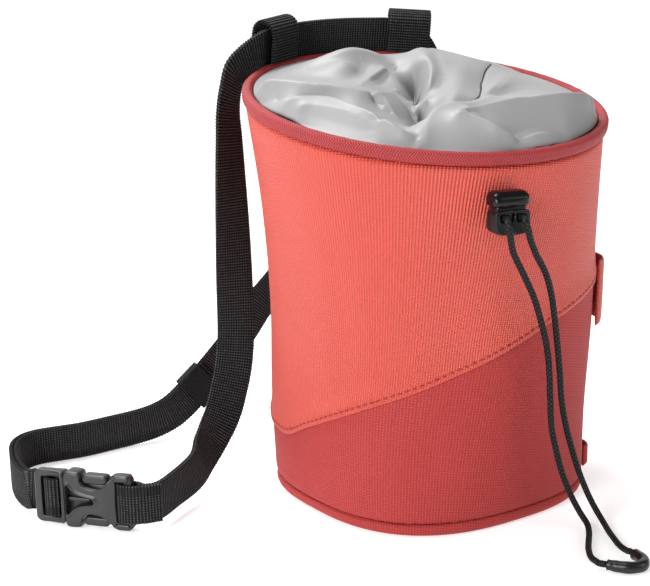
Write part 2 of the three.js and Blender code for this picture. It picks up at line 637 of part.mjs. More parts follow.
// Sleeve that keeps the doubled strap together
function buildKeeper() {
  const frame = doubledMiddle[1];
  const insideHeight = 2 * webThick + layerGap + 2 * seat;
  const insideWidth = webWidth + 2 * seat;
  const outer = roundedBox(-insideWidth / 2 - keeperWall, insideWidth / 2 + keeperWall,
    -insideHeight / 2 - keeperWall, insideHeight / 2 + keeperWall, 1.6, 2);
  const inner = roundedBox(-insideWidth / 2, insideWidth / 2, -insideHeight / 2, insideHeight / 2, 0.5, 1);
  const geometry = plate(outer, keeperLength, [inner.reverse()]);
  const basis = new THREE.Matrix4().makeBasis(frame.across, frame.face, frame.along);
  geometry.applyMatrix4(basis.setPosition(frame.at));
  addPiece('belt_keeper', geometry, finish(0x232326, 0.85));
}

// Cord lock on the front wall: X to the right, Y up, Z away from the wall
const lock = new THREE.Group();
const lockCap = { width: lockWidth + 0.9, depth: lockDepth + 0.6 };
const holeSpread = 0.235 * lockWidth; // each cord hole's distance from the lock's middle
const holeHeight = lockBodyHeight - 2.4;
const holeRadius = cordDiameter / 2 + 0.55;
const lockShare = wallShare(lockTurn, lockHeight + lockBodyHeight + buttonHeight);
const lockWall = wallPoint(lockTurn, lockShare, 0);
const lockBack = Math.hypot(lockWall.x, lockWall.y) + seat;
lock.position.copy(outward(lockTurn).multiplyScalar(lockBack + lockCap.depth / 2)).setZ(lockHeight);
lock.quaternion.setFromRotationMatrix(new THREE.Matrix4().makeBasis(sideways(lockTurn), worldUp, outward(lockTurn)));
lock.updateMatrixWorld();
object.add(lock);

function buildLock() {
  const half = lockWidth / 2;
  const wellWidth = lockWidth * 0.7;
  const wellDepth = lockDepth * 0.54;
  const wellFloor = 1;
  const bodyPlate = plate(roundedBox(-half, half, 0, lockBodyHeight, 2.2, 4), lockDepth);
  const hole = (x, radius) => new THREE.CylinderGeometry(radius, radius, lockDepth * 2, 12)
    .rotateX(Math.PI / 2).translate(x, holeHeight, 0);
  addPiece('cord_lock_body', joinAndCut(bodyPlate, [], [
    block(-wellWidth / 2, wellWidth / 2, wellFloor, lockBodyHeight + 1, -wellDepth / 2, wellDepth / 2),
    hole(-holeSpread, holeRadius),
    hole(holeSpread, holeRadius),
    block(-0.6, 0.6, holeHeight - 1.6, holeHeight + 1.4, wellDepth / 2 - 0.1, lockDepth),
  ]), finish(0x1c1d1f, 0.35), lock);

  const capLow = lockBodyHeight + buttonGap;
  const capHalf = lockCap.width / 2;
  const capOutline = roundedBox(-capHalf, capHalf, capLow, capLow + buttonHeight, 2.2, 4);
  const stemWidth = wellWidth / 2 - seat;
  const stemDepth = wellDepth / 2 - seat;
  const travel = buttonGap - seat;
  const stem = block(-stemWidth, stemWidth, wellFloor + travel + seat, capLow + 1, -stemDepth, stemDepth);
  addPiece('cord_lock_button', joinAndCut(plate(capOutline, lockCap.depth), [stem], [
    hole(-holeSpread, holeRadius).translate(0, travel, 0),
    hole(holeSpread, holeRadius).translate(0, travel, 0),
  ]), finish(0x0e0e10, 0.12), lock);
}

// Cords: two runs of one loop, from the lock's holes down the front and over the floor to the
// pull sleeve. The places are chosen by hand; the first lies within the lock's front wall.
const cordRoutes = {
  cord_left: [
    [-13.6, -78.3, 119.2], [-12.9, -78.3, 116.6], [-11.4, -77, 112.5], [-9.2, -75.3, 108], [-3.4, -73, 99.4],
    [2.2, -71.3, 90], [5.9, -70, 81.5], [9.3, -69, 71.5], [11.2, -68.3, 61], [12, -68, 50], [12.8, -68, 39.5],
    [14.7, -68, 31.5], [17.5, -68, 22], [21.6, -68.3, 12], [24.6, -69.8, 5.4], [25, -74, 2], [22, -79.3, 1.35],
    [17.2, -85.6, 1.35], [12.4, -92, 1.35], [9, -98.2, 1.35], [7.9, -103, 1.8],
  ],
  cord_right: [
    [-7.1, -79.2, 119.4], [-5.9, -79, 116.6], [-3.9, -77.6, 112.6], [0.2, -75.2, 106.5], [5.2, -73.3, 99.6],
    [8.6, -71.9, 92.5], [11.8, -70.2, 81.5], [14.1, -69, 70.5], [15.8, -68.3, 60], [17, -68, 49.5],
    [18.9, -68, 40], [21.7, -68, 30.6], [25.2, -68, 20.7], [29.3, -68.6, 10.8], [31.8, -70.6, 4.6],
    [31.4, -75.4, 1.8], [29, -81.4, 1.35], [26.2, -88.4, 1.35], [23.9, -95.2, 1.35], [23, -100.4, 1.7],
  ],
};
const sleeveRoute = [
  [8.9, -107.2, 2.25], [11.4, -110.6, 2.25], [14.6, -113.3, 2.25], [18.2, -113.9, 2.25], [21.1, -111.8, 2.25],
  [22.4, -108.4, 2.25], [22.6, -104.9, 2.25],
];

const routeCurve = (places) => new THREE.CatmullRomCurve3(places, false, 'centripetal');

function roundRod(curve, diameter, steps, sides) {
  const circle = [];
  for (let k = 0; k < sides; k++) {
    const angle = (2 * Math.PI * k) / sides;
    circle.push(new THREE.Vector2(Math.cos(angle), Math.sin(angle)).multiplyScalar(diameter / 2));
  }
  return new THREE.ExtrudeGeometry(new THREE.Shape(circle), { extrudePath: curve, steps, curveSegments: 1 });
}

function buildCords() {
  const black = finish(0x161618, 0.9);
  const sleevePlaces = sleeveRoute.map((place) => new THREE.Vector3(...place));
  const sleeveCurve = routeCurve(sleevePlaces);
  addPiece('cord_sleeve', roundRod(sleeveCurve, sleeveDiameter, 12, 12), finish(0x141416, 0.35));
  const ends = { cord_left: 0, cord_right: 1 };
  for (const [name, places] of Object.entries(cordRoutes)) {
    const side = name === 'cord_left' ? -1 : 1;
    const frontFace = lockDepth / 2;
    const start = [frontFace - 1, frontFace + 1.6].map((z) => lock.localToWorld(new THREE.Vector3(side * holeSpread, holeHeight, z)));
    const along = sleeveCurve.getTangent(ends[name]).multiplyScalar(ends[name] ? 1 : -1);
    const end = [2.5, 0].map((back) => sleeveCurve.getPoint(ends[name]).addScaledVector(along, seat + back));
    const route = [...start, ...places.map((place) => new THREE.Vector3(...place)), ...end];
    addPiece(name, roundRod(routeCurve(route), cordDiameter, 46, 8), black);
  }
}

// Brush sleeves on the right-hand side: flat cloth tunnels sewn down along both edges
function buildBrushSleeves() {
  const middleTurn = 63;
  const sleeves = {
    brush_sleeve_upper: { low: 0.425, high: 0.59, width: brushSleeveWidth, bulge: 2, color: colours.coral },
    brush_sleeve_lower: { low: 0.042, high: 0.094, width: brushSleeveWidth * 0.55, bulge: 2, color: colours.brick },
  };
  for (const [name, row] of Object.entries(sleeves)) {
    const halfTurn = THREE.MathUtils.radToDeg(row.width / 2 / baseHalfWidth);
    const clear = name === 'brush_sleeve_upper' ? lapHem + seat : seat;
    const columns = Array.from({ length: 11 }, (_, k) => k / 5 - 1);
    const skin = (proud) => sharesBetween(row.low, row.high, 3).map((height) => columns.map((column) => {
      const turn = middleTurn + column * halfTurn;
      const flat = Math.abs(column) > 0.85 ? 0 : Math.cos((column / 0.85) * Math.PI / 2) ** 0.7;
      return wallPoint(turn, wallShare(turn, height * rimHeight), clear + row.bulge * flat + proud);
    }));
    addPiece(name, sheet(skin(brushSleeveWall), skin(0)), finish(row.color, 0.88));
  }
}

buildPanels();
buildBase();
buildBinding();
buildCollar();
for (const [name, turn] of Object.entries(loopTurns)) buildLoop(name, turn);
buildBuckle();
buildBelt();
buildKeeper();
buildLock();
buildCords();
buildBrushSleeves();

export default object;
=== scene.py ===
import math

import bpy
import numpy as np
from mathutils import Matrix, Vector


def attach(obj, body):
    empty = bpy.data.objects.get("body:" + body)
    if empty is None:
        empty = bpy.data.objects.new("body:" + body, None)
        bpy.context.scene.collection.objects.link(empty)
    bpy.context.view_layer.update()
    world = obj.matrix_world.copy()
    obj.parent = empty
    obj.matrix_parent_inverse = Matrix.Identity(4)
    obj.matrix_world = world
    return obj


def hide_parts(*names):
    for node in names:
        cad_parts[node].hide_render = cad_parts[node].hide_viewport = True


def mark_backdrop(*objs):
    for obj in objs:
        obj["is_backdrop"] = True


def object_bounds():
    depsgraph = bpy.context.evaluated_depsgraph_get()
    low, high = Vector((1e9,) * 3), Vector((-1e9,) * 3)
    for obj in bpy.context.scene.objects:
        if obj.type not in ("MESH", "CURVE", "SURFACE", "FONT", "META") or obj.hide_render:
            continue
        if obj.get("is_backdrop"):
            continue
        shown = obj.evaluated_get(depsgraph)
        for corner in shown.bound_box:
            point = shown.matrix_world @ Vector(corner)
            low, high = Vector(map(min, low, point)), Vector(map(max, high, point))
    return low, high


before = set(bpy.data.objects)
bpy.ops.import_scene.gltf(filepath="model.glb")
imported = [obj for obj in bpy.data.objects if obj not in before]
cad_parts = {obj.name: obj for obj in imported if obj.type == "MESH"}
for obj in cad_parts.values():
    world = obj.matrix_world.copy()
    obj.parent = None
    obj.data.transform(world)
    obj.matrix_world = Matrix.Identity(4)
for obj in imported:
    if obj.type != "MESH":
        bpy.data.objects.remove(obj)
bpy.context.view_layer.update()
mm = 0.001
print("frame loaded:", len(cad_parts), "nodes")

# Stage: pale floor, white surroundings, three soft boxes and the camera

view = {
    "place": (-274.9, -472.3, 207.6),
    "turn": -26.0,  # degrees round the bag from its front
    "down": 13.3,
    "roll": -1.3,
    "lens": 78.4,
    "sensor": 36,
}
light = {
    "surroundings": 0.2,
    "aim": (0, 0, 80),
    "top": {"from": (-300, 550, 1500), "size": 700, "power": 33},
    "left": {"from": (-1200, -600, 600), "size": 600, "power": 18},
    "front": {"from": (900, -1000, 800), "size": 900, "power": 7},
}
scene = bpy.context.scene
scene.view_settings.view_transform = "Standard"
scene.view_settings.look = "None"


def addCamera():
    turn, down, roll = (math.radians(view[k]) for k in ("turn", "down", "roll"))
    back = Vector((math.sin(turn) * math.cos(down), -math.cos(turn) * math.cos(down), math.sin(down)))
    side = Vector((math.cos(turn), math.sin(turn), 0))
    up = back.cross(side)
    right = side * math.cos(roll) + up * math.sin(roll)
    top = up * math.cos(roll) - side * math.sin(roll)
    data = bpy.data.cameras.new("camera")
    data.lens = view["lens"]
    data.sensor_width = view["sensor"]
    data.clip_start = 0.01
    camera = bpy.data.objects.new("camera", data)
    turned = Matrix((right, top, back)).transposed().to_4x4()
    camera.matrix_world = Matrix.Translation(Vector(view["place"]) * mm) @ turned
    scene.collection.objects.link(camera)
    scene.camera = camera


def addSoftBox(name, box):
    data = bpy.data.lights.new(name, "AREA")
    data.energy = box["power"]
    data.size = box["size"] * mm
    lamp = bpy.data.objects.new(name, data)
    lamp.location = Vector(box["from"]) * mm
    lamp.rotation_mode = "QUATERNION"
    lamp.rotation_quaternion = (lamp.location - Vector(light["aim"]) * mm).to_track_quat("Z", "Y")
    scene.collection.objects.link(lamp)


addCamera()
for name in ("top", "left", "front"):
    addSoftBox("soft_box_" + name, light[name])
world = bpy.data.worlds.new("surroundings")
world.use_nodes = True
sky = world.node_tree.nodes["Background"].inputs
sky["Color"].default_value = (1, 1, 1, 1)
sky["Strength"].default_value = light["surroundings"]
scene.world = world
print("camera and lights ready")


# Shared tools: tables, lines and grids


def column(rows, name):
    return np.array([row[name] for row in rows], float)


# Smooth curve through a table: cubic pieces whose slope at a row is that of the line
# between its neighbours. With a period the last row leads back to the first.
def readTable(rows, key, value, where, period=0):
    k, v = column(rows, key), column(rows, value)
    where = np.asarray(where, float)
    if period:
        k = np.concatenate([k - period, k, k + period])
        v = np.tile(v, 3)
        where = (where - k[len(rows)]) % period + k[len(rows)]
    i = np.clip(np.searchsorted(k, where) - 1, 0, len(k) - 2)
    before, after = np.maximum(i - 1, 0), np.minimum(i + 2, len(k) - 1)
    span = k[i + 1] - k[i]
    t = np.clip((where - k[i]) / span, 0, 1)
    slope0 = (v[i + 1] - v[before]) / (k[i + 1] - k[before]) * span
    slope1 = (v[after] - v[i]) / (k[after] - k[i]) * span
    return ((2 * t**3 - 3 * t**2 + 1) * v[i] + (t**3 - 2 * t**2 + t) * slope0
            + (3 * t**2 - 2 * t**3) * v[i + 1] + (t**3 - t**2) * slope1)


# Rounded line through places: cubic pieces timed by the square root of the gaps, so that it
# neither loops nor swings out. Gives perSpan points for each gap, and the last place.
def smoothLine(places, perSpan):
    p = np.asarray(places, float)
    p = np.vstack([2 * p[0] - p[1], p, 2 * p[-1] - p[-2]])
    gap = np.maximum(np.linalg.norm(np.diff(p, axis=0), axis=1) ** 0.5, 1e-3)[:, None]
    a, b, c, d = p[:-3], p[1:-2], p[2:-1], p[3:]
    g0, g1, g2 = gap[:-2], gap[1:-1], gap[2:]
    slope0 = ((b - a) / g0 - (c - a) / (g0 + g1) + (c - b) / g1) * g1
    slope1 = ((c - b) / g1 - (d - b) / (g1 + g2) + (d - c) / g2) * g1
    t = np.linspace(0, 1, perSpan, endpoint=False)[None, :, None]
    b, c, slope0, slope1 = (x[:, None] for x in (b, c, slope0, slope1))
    line = ((2 * t**3 - 3 * t**2 + 1) * b + (t**3 - 2 * t**2 + t) * slope0
            + (3 * t**2 - 2 * t**3) * c + (t**3 - t**2) * slope1)
    return np.vstack([line.reshape(-1, p.shape[1]), p[-2]])


def unit(vectors):
    return vectors / np.maximum(np.linalg.norm(vectors, axis=-1, keepdims=True), 1e-12)


def runLength(line):
    return np.concatenate([[0], np.cumsum(np.linalg.norm(np.diff(line, axis=0), axis=1))])


def readLine(at, run, rows):  # rows of numbers, read at other places along the run
    return np.stack([np.interp(at, run, rows[:, k]) for k in range(rows.shape[1])], -1)


def evenly(line, step, *others):  # the line, and what goes with it, again at equal steps
    run = runLength(line)
    at = np.linspace(0, run[-1], max(2, int(round(run[-1] / step)) + 1))
    again = [readLine(at, run, rows) for rows in (line, *others)]
    return again if others else again[0]


def addMesh(name, points, faces, uv=None):
    mesh = bpy.data.meshes.new(name)
    mesh.from_pydata((points * mm).tolist(), [], faces)
    mesh.polygons.foreach_set("use_smooth", np.ones(len(faces), bool))
    if uv is not None:
        layer = mesh.uv_layers.new(name="cloth")
        layer.uv.foreach_set("vector", uv.astype(np.float32).ravel())
    piece = bpy.data.objects.new(name, mesh)
    scene.collection.objects.link(piece)
    return piece


# A grid of points, rows x columns x 3, made a closed mesh: it closes on itself both ways, or
# is a tube with two caps. Flat holds each point's place on the flat cloth, in millimetres, with
# one more row or column where the grid closes. The sign of its volume turns it outwards.
def gridPiece(name, points, flat, closeRows=True):
    rows, cols = points.shape[:2]
    i, j = np.meshgrid(np.arange(rows if closeRows else rows - 1), np.arange(cols), indexing="ij")
    corners = [(0, 0), (1, 0), (1, 1), (0, 1)]
    quads = np.stack([(i + a) % rows * cols + (j + b) % cols for a, b in corners], -1).reshape(-1, 4)
    uv = np.stack([flat[i + a, j + b] for a, b in corners], 2).reshape(-1, 4, 2)
    p = points.reshape(-1, 3)
    q = p - p.mean(0)
    a, b, c, d = (q[quads[:, k]] for k in range(4))
    volume = np.einsum("ij,ij", a, np.cross(b, c)) + np.einsum("ij,ij", a, np.cross(c, d))
    inside = volume < 0
    if inside:
        quads, uv = quads[:, ::-1], uv[:, ::-1]
    faces, uv = quads.tolist(), uv.reshape(-1, 2)
    if not closeRows:
        first, last = list(range(cols)), list(range((rows - 1) * cols, rows * cols))
        faces += [first[::-1], last] if inside else [first, last[::-1]]
        uv = np.vstack([uv, np.zeros((2 * cols, 2))])
    return addMesh(name, p, faces, uv)


# A flat map for a grid: how far along the rows and the columns each point lies
def flatMap(acrossRows, acrossColumns):
    u, v = np.meshgrid(acrossRows, acrossColumns, indexing="ij")
    return np.stack([u, v], -1)


# Rounded rectangle about the middle, counter-clockwise, with steps + 1 points to a corner
def roundedBox(width, height, radius, steps):
    turn = np.radians(np.linspace(0, 90, steps + 1))[None] + np.radians([[-90], [0], [90], [180]])
    middle = np.array([(1, -1), (1, 1), (-1, 1), (-1, -1)]) * (width / 2 - radius, height / 2 - radius)
    return (middle[:, None] + radius * np.stack([np.cos(turn), np.sin(turn)], -1)).reshape(-1, 2)


# Frames along a line that don't twist: each side is the last one, laid square to the line
def steadySides(line, firstSide):
    along = unit(np.gradient(line, axis=0))
    sides = [unit(firstSide - along[0] * np.dot(firstSide, along[0]))]
    for way in along[1:]:
        sides.append(unit(sides[-1] - way * np.dot(sides[-1], way)))
    return along, np.array(sides)


def bell(value):
    return np.exp(-value * value)


def toLinear(hexText):  # sRGB hex to linear red, green, blue and alpha
    parts = [int(hexText[i:i + 2], 16) / 255 for i in (1, 3, 5)]
    return [c / 12.92 if c <= 0.04045 else ((c + 0.055) / 1.055) ** 2.4 for c in parts] + [1.0]


def addNode(tree, kind, settings=None, links=None):  # links: input name or number to a socket
    node = tree.nodes.new("ShaderNode" + kind)
    for name, value in (settings or {}).items():
        if isinstance(name, int) or name in node.inputs:
            node.inputs[name].default_value = value
        else:
            setattr(node, name, value)
    for name, socket in (links or {}).items():
        tree.links.new(socket, node.inputs[name])
    return node


def newMaterial(name, surface):
    material = bpy.data.materials.new(name)
    material.use_nodes = True
    tree = material.node_tree
    tree.nodes.clear()
    shader = addNode(tree, "BsdfPrincipled", surface)
    addNode(tree, "OutputMaterial", None, {"Surface": shader.outputs[0]})
    return material, tree, shader


def finishPiece(piece, material, body, slot, *nodes):
    piece.data.materials.clear()
    piece.data.materials.append(material)
    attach(piece, body)
    if nodes:
        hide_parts(*nodes)
    return piece


# Shape of the bag, as in the model's source but for a few finer dents. Turns are degrees round the
# bag, counted from the front towards +X; shares run from the floor to the rim.

shape = {
    "rimRadius": 70, "rimHeight": 155.4, "rimTilt": 11.5,
    "baseHalfWidth": 57, "baseSquareness": 2.6, "baseTurn": 8, "baseEdge": 5, "baseWall": 2.2,
    "bindingHeight": 5, "bindingWidth": 4, "bindingProud": 1.3,
    "clothWall": 1.6, "lapHem": 0.9, "seat": 0.3,
}
wallSections = [
    {"share": 0, "girth": 1, "leanX": 0, "leanY": 0},
    {"share": 0.25, "girth": 0.985, "leanX": -0.002, "leanY": 0.001},
    {"share": 0.5, "girth": 0.968, "leanX": 0.014, "leanY": -0.007},
    {"share": 0.75, "girth": 0.975, "leanX": 0.015, "leanY": -0.007},
    {"share": 1, "girth": 1, "leanX": 0, "leanY": 0},
]
wallDents = [
    {"turn": -27, "wide": 7, "up": 0.16, "tall": 0.12, "depth": 0.03},
    {"turn": -52, "wide": 16, "up": 0.1, "tall": 0.14, "depth": -0.012},
    {"turn": -2, "wide": 16, "up": 0.12, "tall": 0.12, "depth": -0.012},
    {"turn": 32, "wide": 14, "up": 0.3, "tall": 0.2, "depth": 0.014},
    {"turn": 62, "wide": 16, "up": 0.45, "tall": 0.25, "depth": -0.02},
    {"turn": -75, "wide": 18, "up": 0.55, "tall": 0.2, "depth": 0.018},
    {"turn": 150, "wide": 22, "up": 0.4, "tall": 0.22, "depth": 0.016},
    {"turn": -150, "wide": 20, "up": 0.35, "tall": 0.2, "depth": 0.014},
    # Soft drape of the cloth, too fine for the model
    {"turn": -38, "wide": 8, "up": 0.72, "tall": 0.3, "depth": -0.007},
    {"turn": -22, "wide": 6, "up": 0.55, "tall": 0.3, "depth": 0.01},
    {"turn": -8, "wide": 5, "up": 0.68, "tall": 0.22, "depth": -0.007},
    {"turn": -60, "wide": 6, "up": 0.62, "tall": 0.25, "depth": 0.01},
    {"turn": 14, "wide": 6, "up": 0.6, "tall": 0.2, "depth": 0.009},
    {"turn": 26, "wide": 7, "up": 0.86, "tall": 0.1, "depth": -0.006},
    {"turn": -34, "wide": 5, "up": 0.13, "tall": 0.1, "depth": 0.014},
    {"turn": 8, "wide": 7, "up": 0.2, "tall": 0.12, "depth": 0.01},
]
lapSeam = [
    {"turn": -150, "height": 0.21}, {"turn": -98, "height": 0.176}, {"turn": -79, "height": 0.225},
    {"turn": -44, "height": 0.33}, {"turn": -8, "height": 0.43}, {"turn": 21, "height": 0.5},
    {"turn": 53, "height": 0.544}, {"turn": 80, "height": 0.545}, {"turn": 125, "height": 0.46},
    {"turn": 170, "height": 0.32},
]
tilt = math.radians(shape["rimTilt"])


def outward(turn):
    turn = np.radians(np.asarray(turn, float))
    return np.stack([np.sin(turn), -np.cos(turn), np.zeros_like(turn)], -1)


def rimWay(ways):  # a direction in the rim's own plane, turned into the frame
    x, y, z = np.moveaxis(np.asarray(ways, float), -1, 0)
    cos, sin = math.cos(tilt), math.sin(tilt)
    return np.stack([x, y * cos - z * sin, y * sin + z * cos], -1)


def toRim(places):
    return rimWay(places) + (0, 0, shape["rimHeight"])


def rimPoint(turn, radius, up):
    turn, radius, up = np.broadcast_arrays(*(np.asarray(x, float) for x in (turn, radius, up)))
    return toRim(outward(turn) * radius[..., None] + up[..., None] * np.array([0, 0, 1.0]))


def wallEdge(turn):  # the wall's top edge, just under the binding
    radius = shape["rimRadius"] - shape["bindingProud"]
    return rimPoint(turn, radius, -shape["bindingHeight"] - shape["seat"])


# A point of the wall: the base's rounded square turning into the rim's circle, with the dents
def wallPoint(turn, share, proud):
    turn, share, proud = np.broadcast_arrays(*(np.asarray(x, float) for x in (turn, share, proud)))
    square, power = np.radians(turn - shape["baseTurn"]), shape["baseSquareness"]
    flats = abs(np.sin(square)) ** power + abs(np.cos(square)) ** power
    low = outward(turn) * (shape["baseHalfWidth"] * flats ** (-1 / power))[..., None]
    point = low + (wallEdge(turn) - low) * share[..., None]
    girth = readTable(wallSections, "share", "girth", share)
    for dent in wallDents:
        apart = (turn - dent["turn"] + 180) % 360 - 180
        reach = bell(apart / dent["wide"]) * bell((share - dent["up"]) / dent["tall"])
        girth = girth - dent["depth"] * reach * np.sin(np.pi * np.clip(share, 0, 1))
    for k, name in enumerate(("leanX", "leanY")):
        lean = readTable(wallSections, "share", name, share) * shape["rimRadius"]
        point[..., k] = point[..., k] * girth + lean
    away = outward(turn) * (1 - share[..., None]) + rimWay(outward(turn)) * share[..., None]
    return point + away * proud[..., None]


def wallTop(turn):  # height of the wall's top edge above the floor
    return wallEdge(turn)[..., 2]


def lapHeight(turn):
    return shape["rimHeight"] * readTable(lapSeam, "turn", "height", turn, 360)


def ripple(turn, count, seed):  # soft uneven waves round the bag, from -1 to 1
    chance = np.random.default_rng(seed)
    counts = [round(count * k) for k in (0.77, 1, 1.31)]
    return sum(np.sin(np.radians(turn) * k + chance.uniform(0, 6.28)) / len(counts) for k in counts)


# Cloth and tape materials. The flat map of each piece gives millimetres on the cloth.


def clothMap(tree):
    uv = addNode(tree, "UVMap", {"uv_map": "cloth"})
    parts = addNode(tree, "SeparateXYZ", None, {0: uv.outputs[0]})
    return parts.outputs[0], parts.outputs[1]


def maths(tree, operation, *values, clamp=False):
    node = addNode(tree, "Math", {"operation": operation, "use_clamp": clamp})
    for i, value in enumerate(values):
        if isinstance(value, (int, float)):
            node.inputs[i].default_value = value
        else:
            tree.links.new(value, node.inputs[i])
    return node.outputs[0]


def wave(tree, along, period, power=1):  # from 0 to 1, once in each period of millimetres
    angle = maths(tree, "MULTIPLY", along, 2 * math.pi / period)
    level = maths(tree, "MULTIPLY_ADD", maths(tree, "SINE", angle), 0.5, 0.5)
    return level if power == 1 else maths(tree, "POWER", level, power)


def mixColours(tree, level, low, high):
    ramp = addNode(tree, "Mix", {"data_type": "RGBA"}, {0: level})
    for i, colour in ((6, low), (7, high)):
        if isinstance(colour, str):
            ramp.inputs[i].default_value = toLinear(colour)
        else:
            tree.links.new(colour, ramp.inputs[i])
    return ramp.outputs[2]


def addBump(tree, shader, height, distance, strength=1.0, before=None):
    node = addNode(tree, "Bump", {"Distance": distance * mm, "Strength": strength}, {"Height": height})
    if before is not None:
        tree.links.new(before, node.inputs["Normal"])
    tree.links.new(node.outputs[0], shader.inputs["Normal"])
    return node.outputs[0]


def noise(tree, size, detail=2.0):  # from about 0.3 to 0.7; size is in millimetres
    place = {"Vector": addNode(tree, "TexCoord").outputs["Object"]}
    return addNode(tree, "TexNoise", {"Scale": 1 / (size * mm), "Detail": detail}, place).outputs[0]


# Plain weave: a thread stands out where warp and weft both do. Warp and weft are the distances
# between threads, and rib is the share of the relief that the warp has alone. The colour follows
# that relief: painted shade (dark) in the hollows and painted highlight (light) on the thread tops.
# The fleck's colour, the cloth's own mottle, comes through in patches, and in wider clouds.
def wovenCloth(name, look):
    surface = {"Roughness": look["rough"], "Specular IOR Level": look["shine"], "Sheen Weight": look["sheen"],
               "Sheen Roughness": 0.5, "Sheen Tint": toLinear(look["light"])}
    material, tree, shader = newMaterial(name, surface)
    across, along = clothMap(tree)
    warp, weft = wave(tree, across, look["warp"]), wave(tree, along, look["weft"])
    cell = maths(tree, "MULTIPLY", warp, weft)
    height = maths(tree, "MULTIPLY_ADD", warp, look["rib"], maths(tree, "MULTIPLY", cell, 1 - look["rib"]))
    fine = maths(tree, "SUBTRACT", noise(tree, look["patch"]), 0.5)
    wide = maths(tree, "SUBTRACT", noise(tree, look["cloud"], 1.0), 0.5)
    level = maths(tree, "MULTIPLY_ADD", fine, look["mottle"], 0.35)
    level = maths(tree, "ADD", level, maths(tree, "MULTIPLY", wide, look["mottle"]), clamp=True)
    # painted shade and painted highlight: dark in the weave's hollows, light on its thread tops
    base = mixColours(tree, height, look["dark"], look["light"])
    tree.links.new(mixColours(tree, level, base, look["fleck"]), shader.inputs["Base Color"])
    addBump(tree, shader, height, look["relief"])
    return material


# Light orange-red polyester whose ribs catch the light at the left. Its threads are drawn about
# twice as far apart as the real ones, so that the weave shows at this picture's size. Its dark
# colour is painted shade in the weave's hollows and its light one a painted highlight on the
# thread tops; the third colour is the cloth's own mottle.
coralLook = {
    "warp": 0.86, "weft": 0.8, "rib": 0.4, "relief": 0.4,
    "rough": 0.55, "shine": 0.75, "sheen": 0.03, "patch": 0.5, "cloud": 40, "mottle": 0.35,
    "dark": "#8e2013", "light": "#f45c46", "fleck": "#cc3c2b",
}
# Dull brick-red canvas with threads of two shades, also drawn coarser than it is. Its dark colour
# is painted shade in the weave's hollows, its light one a painted highlight on the thread tops,
# and the third colour its own mottle.
brickLook = {
    "warp": 1.15, "weft": 1.05, "rib": 0.2, "relief": 0.2,
    "rough": 0.7, "shine": 0.3, "sheen": 0.05, "patch": 0.7, "cloud": 40, "mottle": 1.2,
    "dark": "#842322", "light": "#c24340", "fleck": "#9c2f2d",
}
coralCloth = wovenCloth("coral_polyester", coralLook)
brickCloth = wovenCloth("brick_canvas", brickLook)


# Dark-red tape woven in herringbone: slanting ridges that turn back at each edge of a band. Its
# colour follows the ridges: painted shade in the grooves between them, lighter on their tops.
def herringboneTape():
    look = {"slant": 1.05, "band": 1.3, "lean": 0.9, "relief": 0.16, "dark": "#561015", "light": "#b93639"}
    material, tree, shader = newMaterial("herringbone_tape", {"Roughness": 0.6, "Specular IOR Level": 0.4})
    around, over = clothMap(tree)
    fold = maths(tree, "PINGPONG", over, look["band"])
    ridge = wave(tree, maths(tree, "MULTIPLY_ADD", fold, look["lean"], around), look["slant"])
    # painted shade: dark in the grooves, light on the ridges
    tree.links.new(mixColours(tree, ridge, look["dark"], look["light"]), shader.inputs["Base Color"])
    addBump(tree, shader, ridge, look["relief"])
    return material


bindingTape = herringboneTape()

# Walls: two panels, the upper one's folded hem stitched down over the lower one

panel = {
    "columns": 540,
    "fan": 0.16,  # how fast the grain of the cloth turns as one goes round
    "fanStart": -60,
    "fanReach": 420,
    "stitchUp": 2.1,  # the stitches' height above the folded edge
    "stitchProud": 0.62,
    "stitchLength": 1.9,
    "stitchGap": 2.9,
    "stitchThick": 0.64,
}
columnTurns = np.linspace(-180, 180, panel["columns"], endpoint=False)


# The cloth is laid out as a fan whose rays, the ribs, lean more and more towards the right
def fanMap(turns, heights):
    phi = np.radians(turns - panel["fanStart"])[:, None] * panel["fan"]
    reach = panel["fanReach"] - heights
    return np.stack([reach * np.sin(phi), reach * np.cos(phi)], -1)


def closeLoop(rows):  # the first column again after the last
    return np.concatenate([rows, rows[:, :1]], 1)


# A panel: at each turn round the bag, a closed loop of places in the wall, outside and inside
def wallGrid(name, rowsOf):
    turns = np.append(columnTurns, 180)
    shares, prouds = rowsOf(turns)
    points = wallPoint(turns[:, None], shares, prouds)
    return gridPiece(name, points[:-1], closeLoop(fanMap(turns, points[..., 2])))


# The upper panel's loop. Its hem is a list of how far above the folded edge and how proud of the
# wall: round the fold, down into the stitched groove, and out to the plain cloth. Its top tucks
# in under the binding: how far below the wall's top, and how proud.
def upperRows(turns):
    lap, top = lapHeight(turns)[:, None], wallTop(turns)[:, None]
    wall, hem = shape["clothWall"], shape["lapHem"]
    profile = [
        (4.6, -wall), (3.4, 0.06), (1, 0.06), (0.35, 0.1), (0.05, 0.3), (0.05, 0.6),
        (0.3, hem - 0.08), (0.7, hem), (1.2, 0.92), (1.7, 0.7), (2.1, 0.5), (2.5, 0.7),
        (3.1, 0.95), (4, 0.9), (5.2, 0.68), (6.6, 0.42), (8.2, 0.2), (10, 0.06), (12, 0),
    ]
    up, proud = np.array(profile).T
    pucker = 1 + 0.25 * ripple(turns, 110, 3)[:, None]
    hemProud = proud[None] * np.where((up > 1.4) & (up < 4.5), pucker, 1)
    rest = np.linspace(0, 1, 44)[1:]
    low = lap + up[-1]
    outer = low + (top - 2 - low) * rest[None]
    tuck = np.array([(1.4, -0.1), (0.9, -0.4), (0.5, -0.9), (0.05, -1.3)])
    inner = low + (top - low) * rest[::-6][None]
    heights = np.concatenate([lap + up[None], outer, top - tuck[None, :, 0], inner], 1)
    prouds = np.concatenate([hemProud, 0 * outer, 0 * lap + tuck[None, :, 1], 0 * inner - wall], 1)
    return heights / top, prouds


